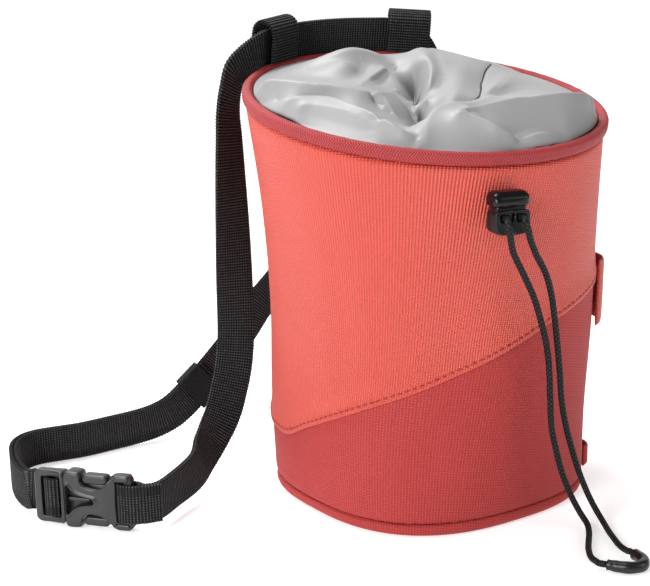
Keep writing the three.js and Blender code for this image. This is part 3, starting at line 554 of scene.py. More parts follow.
# The lower panel's loop: up out of the seam with the base, to behind the hem, and back inside
def lowerRows(turns):
    lap, top = lapHeight(turns)[:, None], wallTop(turns)[:, None]
    wall, low, high = shape["clothWall"], shape["baseEdge"] + 0.25, lap + 2.6
    dip = 0.75 + 0.2 * ripple(turns, 90, 5)[:, None]
    seam = [(0, -1.25), (0.25, -1), (0.6, -0.72), (1.1, -0.42), (1.8, -0.2), (2.8, -0.06), (4, 0)]
    up, tuck = np.array(seam).T
    rest = np.linspace(0, 1, 30)[1:]
    outer = low + up[-1] + (high - low - up[-1]) * rest[None]
    inner = low + (high - low) * np.linspace(1, 0, 6)[None]
    prouds = np.concatenate([tuck[None] * dip, 0 * outer, 0 * inner - wall], 1)
    return np.concatenate([low + up[None] + 0 * lap, outer, inner], 1) / top, prouds


upper = wallGrid("upper_panel", upperRows)
finishPiece(upper, coralCloth, "bag", "coral_cloth", "bag_upper_panel")
lower = wallGrid("lower_panel", lowerRows)
finishPiece(lower, brickCloth, "bag", "brick_cloth", "bag_lower_panel")


# Thread lying along a line: a row of slim rounded grains, each sunk at its ends. A grain's radius
# follows the square root of a sine along it.
def stitchRow(name, line, away, length, gap, radius):
    rings, sides = 7, 6
    run = runLength(line)
    starts = np.arange(gap / 2, run[-1] - length, gap)
    turns = np.linspace(0, 2 * np.pi, sides, endpoint=False)
    ends = np.linspace(0, 1, rings)
    girth = np.sin(np.pi * np.clip(ends, 0.04, 0.96)) ** 0.5
    at = starts[:, None] + ends[None] * length
    middle, out = readLine(at, run, line), unit(readLine(at, run, away))
    side = np.cross(unit(np.gradient(middle, axis=1)), out)
    middle = middle + out * (girth[None, :, None] - 0.7) * radius
    ring = (np.cos(turns)[:, None] * side[:, :, None] + np.sin(turns)[:, None] * out[:, :, None])
    points = middle[:, :, None] + ring * (girth * radius)[None, :, None, None]
    each = rings * sides
    s, i, j = np.meshgrid(np.arange(len(starts)), np.arange(rings - 1), np.arange(sides), indexing="ij")
    corner = [s * each + (i + a) * sides + (j + b) % sides for a, b in ((0, 0), (0, 1), (1, 1), (1, 0))]
    quads = np.stack(corner, -1).reshape(-1, 4).tolist()
    caps = [[k * each + m for m in reversed(range(sides))] for k in range(len(starts))]
    caps += [[(k + 1) * each - sides + m for m in range(sides)] for k in range(len(starts))]
    return addMesh(name, points.reshape(-1, 3), quads + caps)


def lapStitches():
    turns = np.linspace(-180, 180, 721)
    height = lapHeight(turns) + panel["stitchUp"]
    line = wallPoint(turns, height / wallTop(turns), panel["stitchProud"])
    length, gap, thick = panel["stitchLength"], panel["stitchGap"], panel["stitchThick"]
    return stitchRow("lap_stitches", line, outward(turns), length, gap, thick / 2)


# Coral sewing thread, painted darker than the cloth as painted shade round each stitch, so that
# each stitch shows as a dot
thread = newMaterial("coral_thread", {"Base Color": toLinear("#8c241a"), "Roughness": 0.6})[0]
finishPiece(lapStitches(), thread, "bag", "coral_cloth")


# Base: a section of how far in from the foot of the wall and how high, carried round. It runs
# out under the base, round its corner, over the turned-up edge, and back in over the floor.
def buildBase():
    corner, edge, floor = 3.2, shape["baseEdge"] - 0.05, shape["baseWall"]
    half, wall = shape["baseHalfWidth"], shape["clothWall"]
    middle, ring = half - 0.02, half * 0.6
    section = [(middle, 0), (ring, 0), (half * 0.25, 0), (corner + 4, 0)]
    bend = np.radians(np.linspace(0, 90, 7))
    section += [(corner - corner * np.sin(t), corner - corner * np.cos(t)) for t in bend]
    section += [(0.08, 3.9), (0.35, 4.4), (0.75, 4.75), (1.3, 4.93), (wall, edge)]
    section += [(wall, corner), (corner + wall, floor), (ring, floor), (middle, floor)]
    inset, height = np.array(section).T
    turns = np.append(columnTurns, 180)
    points = wallPoint(turns[:, None], 0, -inset[None])
    points[..., 2] = height
    reach, angle = np.linalg.norm(points[..., :2], axis=-1), np.radians(turns)[:, None]
    under = np.stack([reach * np.sin(angle), reach * np.cos(angle) - height[None]], -1)
    flat = np.where((inset < corner + 2)[None, :, None], fanMap(turns, points[..., 2]), under)
    piece = gridPiece("base", points[:-1], closeLoop(flat))
    return finishPiece(piece, brickCloth, "bag", "brick_cloth", "bag_base")


buildBase()


# Rim tape: a rounded rectangle carried round the rim
def buildBinding():
    turns = np.linspace(-180, 180, 901)
    high, wide = shape["bindingHeight"], shape["bindingWidth"]
    section = roundedBox(wide, high, 1.75, 8)
    girth = runLength(np.vstack([section, section[:1]]))
    swell = 1 + 0.018 * ripple(turns, 60, 8)[:, None]
    radius = shape["rimRadius"] - wide / 2 + section[None, :, 0] * swell
    up = -high / 2 + section[None, :, 1] * swell
    points = rimPoint(turns[:, None], radius, up)
    flat = flatMap(np.radians(turns) * shape["rimRadius"], girth)
    piece = gridPiece("binding", points[:-1], flat)
    return finishPiece(piece, bindingTape, "bag", "binding_tape", "rim_binding")


buildBinding()
print("walls, base and binding ready")

# Collar: nylon gathered to a small mouth. Lines of it are given in the rim's own plane: x to the
# right, y to the back and how far above the binding's top. The cloth between them is a soap film:
# each place is as high as the mean of the places round it. A soft line is a roll of that width,
# and a line with "behind" is a crest, with the cloth's low line that far behind it.

collar = {
    "turns": 520,
    "topSteps": 150,
    "underSteps": 14,
    "thick": 0.9,
    "mouth": (-4, 0),
    "mouthRadius": 1.6,
    "edgeRadius": 65.7,
    "edgeUp": -1.0,
    "fieldReach": 68,
    "fieldSteps": (4, 2, 1, 0.5),
    "fieldRounds": 260,
    "rollRounds": 24,
    "seamStitch": 2.4,
    "seamGap": 2.7,
    "seamThick": 0.68,
}
folds = {
    "left ridge": {"soft": 0, "behind": (1, 4, -2.5), "line": [
        (-63, 15, -0.5), (-63, 13, 3), (-63, 12, 6.5), (-58, 4, 9), (-52, -5, 10), (-43, -12, 10),
        (-36, -17, 9.5), (-29, -19, 9)]},
    "front left": {"soft": 0, "behind": (1.5, 4, -3.5), "line": [
        (-64, 4, 0.5), (-64, -3, 4), (-63, -9, 6.5), (-51, -16, 8), (-45, -30, 8), (-41, -43, 7),
        (-37, -51, 4.5), (-33, -53, 1)]},
    "dent, edge": {"soft": 0, "line": [
        (-62, -18, 3.5), (-61, -16, 5), (-57, -17, 6), (-51, -25, 6.5), (-45, -35, 6), (-41, -42, 5)]},
    "dent, floor": {"soft": 1.5, "line": [
        (-62, -17, 1.6), (-59, -22, 1.2), (-54, -31, 0.7), (-49, -39, 0.5), (-45, -43, 0.4)]},
    "front lip": {"soft": 2.5, "line": [
        (-64, 2, 0.8), (-64, -7, 1.8), (-63, -16, 2.6), (-62, -19, 2)]},
    "first pleat": {"soft": 0, "line": [
        (-29, -19, 9), (-25, -19, 8.5), (-24, -22, 7), (-22, -25, 4), (-21, -27, 0.5)]},
    "first pleat, valley": {"soft": 0, "line": [
        (-15, -4, 5), (-11, -4, 1.5), (-9, -6, -2), (-8, -7, -6)]},
    "second pleat, valley": {"soft": 0, "line": [
        (-28, -13, 6.5), (-25, -16, 5), (-23, -21, 2.5), (-20, -23, -2)]},
    "second pleat": {"soft": 0, "line": [
        (-34, -16, 8), (-31, -21, 7), (-29, -27, 5), (-27, -31, 2), (-24, -33, -2)]},
    "third pleat, valley": {"soft": 0, "line": [
        (-37, -10, 6.5), (-33, -18, 5), (-30, -25, 3), (-27, -31, 0)]},
    "slit, left lip": {"soft": 0, "line": [
        (-11, -10, 2), (-15, -17, 0.5), (-19, -26, -1), (-25, -36, -2)]},
    "slit": {"soft": 0, "line": [
        (0, 7, -5), (-1, 2, -8), (-10, -13, -8), (-19, -30, -6)]},
    "slit, right lip": {"soft": 0, "line": [
        (-7, -8, 0), (-14, -20, 0.5), (-20, -32, 0), (-26, -43, -0.5)]},
    "front middle, left edge": {"soft": 1.5, "line": [
        (-34, -55, -0.5), (-34, -55, 1.5), (-32, -54, 4), (-29, -48, 6), (-26, -44, 8), (-22, -41, 9.5),
        (-17, -41, 10.5), (-11, -39, 10.5), (-7, -39, 10), (0, -35, 9)]},
    "front middle, right edge": {"soft": 0, "behind": (2, 2.5, -2), "line": [
        (-17, -51, 10.5), (-14, -53, 10), (-10, -58, 9), (-7, -63, 7.5), (-2, -64, 4.5), (3, -64, 1)]},
    "groove behind it": {"soft": 0, "line": [
        (-10, -38, 8), (-2, -34, 7), (5, -31, 6.5)]},
    "right fold": {"soft": 0, "behind": (1, 4.5, -4), "line": [
        (-16, -50, 10.5), (-8, -50, 11.5), (3, -51, 13.5), (12, -52, 14.5), (19, -53, 15),
        (29, -52, 14.5), (39, -48, 12.5), (46, -43, 9), (50, -40, 4.5), (52, -38, 0)]},
    "right fold, foot": {"soft": 1.5, "line": [
        (2, -62, 2), (8, -60, 2.5), (15, -59, 3), (24, -59, 3.4), (35, -54, 2.6), (45, -46, 1)]},
    "right puff": {"soft": 1.5, "line": [
        (1, -64, 1), (3, -64, 3), (8, -64, 4.4), (12, -63, 4.4), (15, -63, 3.4), (20, -61, 1)]},
    "right of the seam": {"soft": 1.5, "line": [
        (47, 11, 5), (27, -12, 8), (10, -29, 9.5), (-1, -38, 9.5)]},
    "valley beyond it": {"soft": 2.5, "line": [
        (53, 0, 2.5), (34, -14, 5), (18, -24, 6), (7, -31, 6.5)]},
    "seam": {"soft": 0, "line": [
        (35, 11, 8), (28, 3, 7.5), (18, -9, 7), (10, -21, 7), (4, -30, 7.5), (-4, -36, 7.5)]},
    "left of the seam": {"soft": 2.5, "line": [
        (23, 10, 10.5), (9, -9, 10.5), (-2, -24, 10), (-12, -36, 10.5)]},
    "cone": {"soft": 2.5, "line": [
        (9, 23, 14), (1, 5, 13.5), (-8, -12, 12), (-14, -20, 9), (-13, -16, 3.5)]},
    "back, beside the cone": {"soft": 1.5, "line": [
        (15, 25, 12.5), (20, 23, 11.5), (26, 17, 10.5), (31, 13, 9.5), (36, 12, 8.5), (45, 13, 6)]},
    "right of the cone": {"soft": 2.5, "line": [
        (13, 8, 11.5), (4, -5, 9.5), (-3, -13, 7), (-10, -19, 4.5), (-6, -6, -1)]},
    "left of the cone": {"soft": 2.5, "line": [
        (1, 33, 8), (-6, 18, 7.5), (-11, 4, 6), (-10, -2, 3), (-5, 0, -2)]},
    "back left": {"soft": 2.5, "line": [
        (-36, 37, 5), (-30, 27, 11), (-23, 26, 14), (-18, 25, 14.5), (-11, 24, 12.5), (-1, 30, 8)]},
    "dimple": {"soft": 2.5, "line": [
        (-15, 20, 10.5), (-18, 17, 7.5), (-22, 12, 6), (-29, 5, 6)]},
    "wrinkle": {"soft": 0, "line": [
        (-10, 13, 9), (-18, 7, 8.5), (-25, 1, 8), (-30, -3, 7.5)]},
    "right of the wrinkle": {"soft": 1.5, "line": [
        (-4, 18, 5), (-14, 8, 5), (-22, 1, 5)]},
    "left of the dimple": {"soft": 2.5, "line": [
        (-38, 21, 6), (-32, 17, 9), (-25, 15, 11.5)]},
    "valley to its left": {"soft": 2.5, "line": [
        (-44, 30, 4), (-40, 18, 5), (-36, 6, 6)]},
}
# Shallow creases and hollows of the cloth: their depth, and how wide they are
creases = [
    {"depth": 0.5, "wide": 0.9, "line": [(36, 11), (29, 4), (19, -9), (11, -21), (4, -30), (-4, -36)]},
    {"depth": 0.8, "wide": 3, "line": [(-38, 26), (-28, 22), (-18, 20)]},
    {"depth": 0.7, "wide": 2.2, "line": [(14, 20), (8, 6), (2, -8)]},
    {"depth": 0.6, "wide": 2, "line": [(30, -47), (20, -50), (8, -52)]},
    {"depth": 0.5, "wide": 1.2, "line": [(-50, -3), (-40, -8), (-32, -16)]},
]
seamCrease = creases[0]


# Distance from each place to a line, and the share of the line that has gone by there
def besideLine(x, y, line):
    line = evenly(smoothLine(line, 8)[:, :2], 1)
    best, share = np.full(x.shape, 1e9), np.zeros(x.shape)
    for k, (a, b) in enumerate(zip(line[:-1], line[1:])):
        dx, dy = b - a
        t = np.clip(((x - a[0]) * dx + (y - a[1]) * dy) / (dx * dx + dy * dy), 0, 1)
        away = np.hypot(x - a[0] - t * dx, y - a[1] - t * dy)
        share = np.where(away < best, (k + t) / (len(line) - 1), share)
        best = np.minimum(best, away)
    return best, share


def meanRound(field, rounds):
    for _ in range(rounds):
        field = np.pad(field, 1, "edge")
        field = (field[:-2, 1:-1] + field[2:, 1:-1] + field[1:-1, :-2] + field[1:-1, 2:]) / 4
    return field


# A square table of the cloth's height, made on a coarse grid first and then on finer ones
def foldField():
    reach, field = collar["fieldReach"], None
    for step in collar["fieldSteps"]:
        axis = np.arange(-reach, reach + step / 2, step)
        x, y = np.meshgrid(axis, axis, indexing="ij")
        if field is None:
            field = 0 * x
        else:
            field = readLine(axis, coarse, readLine(axis, coarse, field).T).T
        given, count = 0 * x, 0 * x
        for fold in folds.values():
            line = evenly(smoothLine(fold["line"], 8), step / 3)
            at = np.rint((line[:, :2] + reach) / step).astype(int).T
            np.add.at(given, tuple(at), line[:, 2])
            np.add.at(count, tuple(at), 1)
        outside = np.hypot(x, y) > collar["edgeRadius"] - 0.5
        held = (count > 0) | outside
        given = np.where(outside, collar["edgeUp"], given / np.maximum(count, 1))
        for _ in range(collar["fieldRounds"]):
            field = np.where(held, given, meanRound(field, 1))
        coarse = axis
    rolled, soft = meanRound(field, collar["rollRounds"]), 0 * x
    for fold in folds.values():
        if fold["soft"]:
            away, _ = besideLine(x, y, fold["line"])
            soft = np.maximum(soft, bell(away / fold["soft"]))
    field = meanRound(field, 1)
    field += (rolled - field) * soft
    for crease in creases:
        away, share = besideLine(x, y, crease["line"])
        field -= crease["depth"] * bell(away / crease["wide"]) * np.sin(np.pi * share) ** 0.5
    return field


# The low lines behind the crests are lines of their own; the crest's ends have none
for name, fold in list(folds.items()):
    if "behind" in fold:
        low = [np.add(place, fold["behind"]) for place in fold["line"][1:-1]]
        folds[name + ", low line"] = {"soft": 0, "line": low}
collarField = foldField()


def collarHeight(x, y):
    step = 2 * collar["fieldReach"] / (len(collarField) - 1)
    u, v = (x + collar["fieldReach"]) / step, (y + collar["fieldReach"]) / step
    i, j = (np.clip(w.astype(int), 0, len(collarField) - 2) for w in (u, v))
    u, v = u - i, v - j
    low = collarField[i, j] * (1 - u) + collarField[i + 1, j] * u
    high = collarField[i, j + 1] * (1 - u) + collarField[i + 1, j + 1] * u
    return low + (high - low) * v


def buildCollar():
    turns = np.linspace(0, 360, collar["turns"] + 1)
    share = np.concatenate([np.linspace(0, 1, collar["topSteps"]), np.linspace(1, 0, collar["underSteps"])])
    way = outward(turns)[:, None, :2]
    mouth = way * collar["mouthRadius"] + np.array(collar["mouth"])
    place = mouth + (way * collar["edgeRadius"] - mouth) * share[None, :, None]
    height = collarHeight(place[..., 0], place[..., 1])
    height[:, collar["topSteps"]:] -= collar["thick"]
    points = toRim(np.concatenate([place, height[..., None]], -1))
    return gridPiece("collar_cloth", points[:-1], closeLoop(place))


# Light-grey coated nylon: smooth, with a soft shine along the folds
def greyNylon():
    look = {"weave": 0.55, "relief": 0.02, "crinkle": 9, "crinkleRelief": 0.5}
    surface = {"Base Color": toLinear("#838383"), "Roughness": 0.5, "Specular IOR Level": 0.5,
               "Sheen Weight": 0.1}
    material, tree, shader = newMaterial("grey_nylon", surface)
    across, along = clothMap(tree)
    weave = maths(tree, "MULTIPLY", wave(tree, across, look["weave"]), wave(tree, along, look["weave"]))
    first = addBump(tree, shader, noise(tree, look["crinkle"], 1.0), look["crinkleRelief"], 0.5)
    addBump(tree, shader, weave, look["relief"], 1.0, first)
    return material


nylon = greyNylon()
finishPiece(buildCollar(), nylon, "bag", "grey_nylon", "collar")


# The collar's own seam: dark thread in short stitches that wander a little
def collarSeam():
    line = evenly(smoothLine(seamCrease["line"], 14), 0.5)
    line[:, 0] += 0.25 * np.sin(np.arange(len(line)) * 1.1)
    height = collarHeight(line[:, 0], line[:, 1]) + 0.15
    places, up = toRim(np.column_stack([line, height])), rimWay(np.tile([0.0, 0, 1], (len(line), 1)))
    length, gap, thick = collar["seamStitch"], collar["seamGap"], collar["seamThick"]
    return stitchRow("collar_seam", places, up, length, gap, thick / 2)


darkThread = newMaterial("dark_thread", {"Base Color": toLinear("#34343a"), "Roughness": 0.7})[0]
finishPiece(collarSeam(), darkThread, "bag", "grey_nylon")
print("collar ready")

# Belt, loops and keeper. A strap is carried along stations, each with its place and the way its
# width points; the stations follow those in the model's source.

strapLook = {
    "width": 15, "thick": 1.6, "corner": 0.45,
    "rib": 1.15,  # from rib to rib
    "ribDepth": 0.16,  # how much thicker a rib is, as a share
    "scallop": 0.14,  # how far a rib stands out at each edge
    "step": 0.26,
    "layerGap": 0.4,
    "sewnEnd": 7,  # the near strap's end, folded once more
    "sewnSwell": 0.55,  # how much thicker it is there, as a share
}
loopLook = {
    "width": 17.5, "thick": 1.4, "height": 17.5, "depth": 10,
    "turns": {"left": -150.5, "right": 156.6},
}
buckle = {
    "turn": -98.7, "out": 1.983, "heading": -43.5, "width": 22, "depth": 7,
    "endMiddle": 15.7,  # where along the buckle the bar's end plate, the knobs and the tabs sit
    "knobAt": 16.2,
    "tabAt": 5.3,
}
buckle["male"], buckle["female"] = -0.92 * buckle["width"], 0.92 * buckle["width"]
buckle["split"], buckle["bar"] = -0.31 * buckle["width"], 0.14 * buckle["width"]
buckle["barThick"] = 0.43 * buckle["depth"]
buckle["fold"] = buckle["barThick"] / 2 + shape["seat"] + strapLook["thick"] / 2
buckle["slot"] = buckle["fold"] + strapLook["thick"] / 2 + 0.7
femaleBar, maleBar = buckle["female"] - buckle["bar"], buckle["male"] + buckle["bar"]
worldUp = np.array([0, 0, 1.0])
buckleHeading = math.radians(buckle["heading"])
buckleWay = np.array([math.cos(buckleHeading), math.sin(buckleHeading), 0])
buckleFace = np.cross(buckleWay, worldUp)
buckleMiddle = outward(buckle["turn"]) * buckle["out"] * shape["rimRadius"] + worldUp * buckle["width"] / 2


# Puts places given by three of a piece's own ways into the frame
def inFrame(places, middle, ways):
    places = np.asarray(places, float)
    return middle + sum(places[..., k:k + 1] * way for k, way in enumerate(ways))


def atBuckle(places):  # along the buckle, across it, and towards the viewer
    return inFrame(places, buckleMiddle, (buckleWay, worldUp, buckleFace))


# The near strap, from the floor beside the buckle up to the left loop: turn round the bag, how
# far out in rim radii, how high in rim heights, and the way its width points: "swing" round the
# bag, lifted by "tip"
nearBranch = [
    {"turn": -92.3, "out": 1.638, "up": 0.071, "tip": 90, "swing": 0},
    {"turn": -98, "out": 1.481, "up": 0.071, "tip": 89, "swing": -115},
    {"turn": -105.9, "out": 1.343, "up": 0.077, "tip": 80, "swing": -115},
    {"turn": -114.5, "out": 1.29, "up": 0.09, "tip": 65, "swing": -115},
    {"turn": -120.5, "out": 1.247, "up": 0.12, "tip": 53, "swing": -115},
    {"turn": -124.2, "out": 1.2, "up": 0.17, "tip": 38, "swing": -115},
    {"turn": -125.5, "out": 1.163, "up": 0.232, "tip": 22, "swing": -116},
    {"turn": -126.1, "out": 1.132, "up": 0.3, "tip": 10, "swing": -116},
    {"turn": -126.2, "out": 1.115, "up": 0.38, "tip": 1, "swing": -114},
    {"turn": -126.3, "out": 1.112, "up": 0.52, "tip": 0, "swing": -102},
    {"turn": -126.3, "out": 1.111, "up": 0.66, "tip": 0, "swing": -86},
    {"turn": -126.3, "out": 1.112, "up": 0.79, "tip": 0, "swing": -73},
    {"turn": -127, "out": 1.115, "up": 0.896, "tip": 0, "swing": -63},
    {"turn": -128, "out": 1.12, "up": 0.96, "tip": 3, "swing": -57},
    {"turn": -129.6, "out": 1.111, "up": 1.015, "tip": 12, "swing": -54},
    {"turn": -132, "out": 1.088, "up": 1.062, "tip": 34, "swing": -54},
]
# Over the rim, behind the collar: "past" is millimetres outside it, "up" is in strap widths
overRim = [
    {"turn": -142, "past": 1.4, "up": 0.41, "tip": 78},
    {"turn": -150.5, "past": 1.3, "up": 0.41, "tip": 90},
    {"turn": -158, "past": 1.2, "up": 0.41, "tip": 90},
    {"turn": -166, "past": 1.2, "up": 0.41, "tip": 90},
    {"turn": -174, "past": 1.2, "up": 0.41, "tip": 90},
    {"turn": -182, "past": 1.2, "up": 0.41, "tip": 90},
    {"turn": -190, "past": 1.2, "up": 0.41, "tip": 90},
    {"turn": -197, "past": 1.4, "up": 0.41, "tip": 88},
    {"turn": -202.5, "past": 1.8, "up": 0.34, "tip": 78},
    {"turn": -206.6, "past": 2.8, "up": 0.08, "tip": 58},
]
# Down behind the bag from the right loop
farBranch = [
    {"turn": 149.4, "out": 1.1, "up": 1.02, "tip": 28, "swing": 60},
    {"turn": 150, "out": 1.145, "up": 0.965, "tip": 0, "swing": 60},
    {"turn": 151.3, "out": 1.189, "up": 0.894, "tip": -22, "swing": 64},
    {"turn": 157.6, "out": 1.236, "up": 0.798, "tip": -38, "swing": 70},
    {"turn": 165.8, "out": 1.282, "up": 0.7, "tip": -48, "swing": 78},
    {"turn": 175.6, "out": 1.318, "up": 0.598, "tip": -51, "swing": 86},
    {"turn": 186, "out": 1.379, "up": 0.495, "tip": -48, "swing": 90},
    {"turn": 192.7, "out": 1.435, "up": 0.412, "tip": -43, "swing": 90},
    {"turn": 197.1, "out": 1.48, "up": 0.355, "tip": -41, "swing": 90},
    {"turn": 200.9, "out": 1.544, "up": 0.278, "tip": -41, "swing": 90},
]
# The doubled strap, from the keeper round the bend on the floor to the buckle
onFloor = (strapLook["width"] / 2 + 0.2) / shape["rimHeight"]
doubledBranch = [
    {"turn": 207, "out": 1.651, "up": 0.173, "tip": -47, "swing": 90},
    {"turn": 209.6, "out": 1.692, "up": 0.139, "tip": -50, "swing": 90},
    {"turn": 212.1, "out": 1.737, "up": 0.107, "tip": -54, "swing": 90},
    {"turn": 215, "out": 1.775, "up": 0.08, "tip": -62, "swing": 90},
    {"turn": 218, "out": 1.827, "up": 0.063, "tip": -73, "swing": 90},
    {"turn": 221.1, "out": 1.89, "up": 0.055, "tip": -82, "swing": 90},
    {"turn": 226.3, "out": 2.036, "up": onFloor, "tip": -89, "swing": 90},
    {"turn": 230.5, "out": 2.163, "up": onFloor, "tip": -90, "swing": 90},
    {"turn": 234, "out": 2.355, "up": onFloor, "tip": -90, "swing": 90},
    {"turn": 236, "out": 2.42, "up": onFloor, "tip": -90, "swing": 90},
    {"turn": 239, "out": 2.44, "up": onFloor, "tip": -90, "swing": 90},
    {"turn": 243.5, "out": 2.402, "up": 0.052, "tip": -90, "swing": 90},
    {"turn": 249.1, "out": 2.34, "up": 0.057, "tip": -90, "swing": 90},
    {"turn": 253.9, "out": 2.271, "up": 0.063, "tip": -90, "swing": 90},
]


def routeStations(rows):
    at = outward(column(rows, "turn")) * column(rows, "out")[:, None] * shape["rimRadius"]
    at[:, 2] = column(rows, "up") * shape["rimHeight"]
    tip = np.radians(column(rows, "tip"))
    across = outward(column(rows, "swing")) * np.cos(tip)[:, None]
    across[:, 2] = np.sin(tip)
    return at, across


def rimStations(rows):
    turn, tip = column(rows, "turn"), np.radians(column(rows, "tip"))[:, None]
    at = rimPoint(turn, shape["rimRadius"] + column(rows, "past"), column(rows, "up") * strapLook["width"])
    side = np.where(turn < -180, -1, 1)[:, None]
    sideways = rimWay(outward(turn + 90))
    return at, rimWay(np.array([0, 0, 1.0])) * np.sin(tip) + sideways * side * np.cos(tip)


def foldStations(bar, side, across):  # half a turn of webbing round a buckle's bar
    turn = np.linspace(0, np.pi, 7)
    past, radius, pinch = bar + side * (buckle["bar"] + 0.6), buckle["fold"], 0.05
    x = np.concatenate([[past], bar - side * radius * np.sin(turn), [past]])
    z = np.concatenate([[radius - pinch], radius * np.cos(turn), [pinch - radius]])
    return atBuckle(np.stack([x, 0 * x, z], 1)), np.tile(across, (len(x), 1))


# The stations' rounded line, with the way across the strap and the way out of its face
def strapFrames(at, across, perSpan):
    line = smoothLine(at, perSpan)
    where = np.linspace(0, len(at) - 1, len(line))
    across = readLine(where, np.arange(len(at)), across)
    along = unit(np.gradient(line, axis=0))
    across = unit(across - along * np.sum(across * along, 1, keepdims=True))
    return line, across, np.cross(along, across)


# A ribbed strap: its section, a rounded rectangle, swells and sinks by a cosine along the strap.
# In its flat map the underside lies a hundred millimetres to the side of the top.
def ribbedStrap(name, at, across, look, swell=None):
    line, across, _ = strapFrames(at, across, 24)
    line, across = evenly(line, strapLook["step"], across)
    across = unit(across)
    face = unit(np.cross(np.gradient(line, axis=0), across))
    run = runLength(line)
    rib = np.cos(run * 2 * np.pi / strapLook["rib"])
    section = roundedBox(look["width"], look["thick"], strapLook["corner"], 2)
    top = np.array([(share * look["width"], look["thick"] / 2) for share in (0.25, 0, -0.25)])
    section = np.vstack([section[:6], top, section[6:], -top])
    thicker = 1 if swell is None else swell(run)
    high = thicker * (1 + strapLook["ribDepth"] * rib)
    wide = 1 + strapLook["scallop"] * rib / look["width"] * 2
    points = (line[:, None] + (section[None, :, 0] * wide[:, None])[..., None] * across[:, None]
              + (section[None, :, 1] * high[:, None])[..., None] * face[:, None])
    sideways = np.append(section[:, 0], section[0, 0]) + np.where(np.append(section[:, 1], 0) < 0, 100, 0)
    return gridPiece(name, points, flatMap(run, sideways), closeRows=False)


# Black polyester webbing: ribs across it, and rows of stitches on the ribs. Its colour holds
# painted shade, darker in the hollows between the ribs, and painted highlights, in the light
# colour given, in rows of dots on the rib tops where they would catch the light. The rows are
# drawn about twice as far apart as the real ones.
def webbing(name, rib, rows, light):
    # light is the colour of the painted highlights on the rib tops; dark is the painted shade between ribs
    look = {"fleck": light, "dark": "#040404", "body": "#0f1112", "relief": 0.22}
    material, tree, shader = newMaterial(name, {"Roughness": 0.6, "Specular IOR Level": 0.16})
    along, across = clothMap(tree)
    ribs = wave(tree, maths(tree, "ADD", along, rib / 4), rib)
    dots = maths(tree, "MULTIPLY", maths(tree, "POWER", ribs, 2.0), wave(tree, across, rows, 1.5))
    # painted shade: darker in the hollows between the ribs
    body = mixColours(tree, ribs, look["dark"], look["body"])
    # painted highlights: uneven light dots on the rib tops
    unevenGlint = maths(tree, "MULTIPLY", dots, maths(tree, "MULTIPLY", noise(tree, 1.6), 1.7), clamp=True)
    tree.links.new(mixColours(tree, unevenGlint, body, look["fleck"]), shader.inputs["Base Color"])
    addBump(tree, shader, maths(tree, "MULTIPLY_ADD", ribs, 0.5, dots), look["relief"])
    return material


# 5c5c5e is the colour of the painted highlights on the belt's ribs
blackWeb = webbing("black_webbing", strapLook["rib"], 1.0, "#5c5c5e")
beforePlug = (-24.5, 0, -4.2)  # where the doubled strap comes up to the buckle
doubledAt, doubledAcross = routeStations(doubledBranch)
doubledAt = np.vstack([doubledAt, atBuckle(beforePlug)])
doubledAcross = np.vstack([doubledAcross, -worldUp])
middleLine, middleAcross, middleFace = strapFrames(doubledAt, doubledAcross, 2)


# Through the plug, as places along and out of the buckle: behind the frame's end, over the bar
# inside its window and back underneath
plugWrap = [
    (-22.4, -3), (-20, -2.9), (-17.6, -2.4), (-16, 0), (-14.6, 2.0), (-12.6, 2.7),
    (-10.7, 1.9), (-9.9, -0.4), (-10.8, -3), (-13.5, -4.4), (-18, -4.9), (-21.5, -5),
]


def buildBelt():
    apart = (strapLook["thick"] + strapLook["layerGap"]) / 2
    layers = [middleLine + side * apart * middleFace for side in (1, -1)]
    if np.dot(layers[0][-1] - layers[1][-1], buckleFace) < 0:
        layers.reverse()
    outer, inner = layers
    nearAt, nearAcross = routeStations(nearBranch)
    away = unit(np.cross(nearAt[1] - nearAt[0], worldUp))
    lead, spread = buckle["female"] + 0.164 * buckle["width"], apart * 1.2
    parts = [
        ([nearAt[0] + away * 2 * apart], [worldUp]),
        ([atBuckle([lead, 0, spread])], [worldUp]),
        foldStations(femaleBar, 1, worldUp),
        ([atBuckle([lead, 0, -spread])], [worldUp]),
        (nearAt, nearAcross),
        rimStations(overRim),
        routeStations(farBranch),
        (outer, middleAcross),
        (atBuckle([(x, 0, z) for x, z in plugWrap]), np.tile(-worldUp, (len(plugWrap), 1))),
        (inner[::-1], middleAcross[::-1]),
    ]
    at, across = (np.vstack(rows) for rows in zip(*parts))

    def sewnEnd(run):  # steps down from the thicker end within about a millimetre
        return 1 + strapLook["sewnSwell"] / 2 * (1 - np.tanh((run - strapLook["sewnEnd"]) * 1.5))

    piece = ribbedStrap("belt", at, across, strapLook, sewnEnd)
    return finishPiece(piece, blackWeb, "bag", "black_webbing", "belt_webbing")


buildBelt()


# A belt loop: up inside the rim, over in half a circle, down outside and in under the binding
def buildLoop(side):
    turn, thick, tape = loopLook["turns"][side], loopLook["thick"], shape["bindingHeight"]
    inner = shape["rimRadius"] - shape["bindingWidth"] + thick / 2
    outer, bend = inner + loopLook["depth"], loopLook["depth"] / 2
    sewn = shape["rimRadius"] + shape["seat"] + thick / 2
    crown = loopLook["height"] - bend - thick / 2
    foot = shape["seat"] + loopLook["width"] / 2 * math.tan(tilt) * 0.2
    arch = np.linspace(0, np.pi, 7)
    radius = np.concatenate([[inner, inner], inner + bend - bend * np.cos(arch), [outer, outer - 0.8, sewn]])
    up = np.concatenate([[foot, crown / 2], crown + bend * np.sin(arch), [0, -tape, -tape * 2.8]])
    at = rimPoint(turn, radius, up)
    across = np.tile(rimWay(outward(turn + 90)), (len(at), 1))
    piece = ribbedStrap("loop_" + side, at, across, loopLook)
    return finishPiece(piece, blackWeb, "bag", "black_webbing", "belt_loop_" + side)


for side in ("left", "right"):
    buildLoop(side)


keeper = {"wall": 1.1, "length": 12, "rib": 0.9, "ribDepth": 0.02, "station": 2}


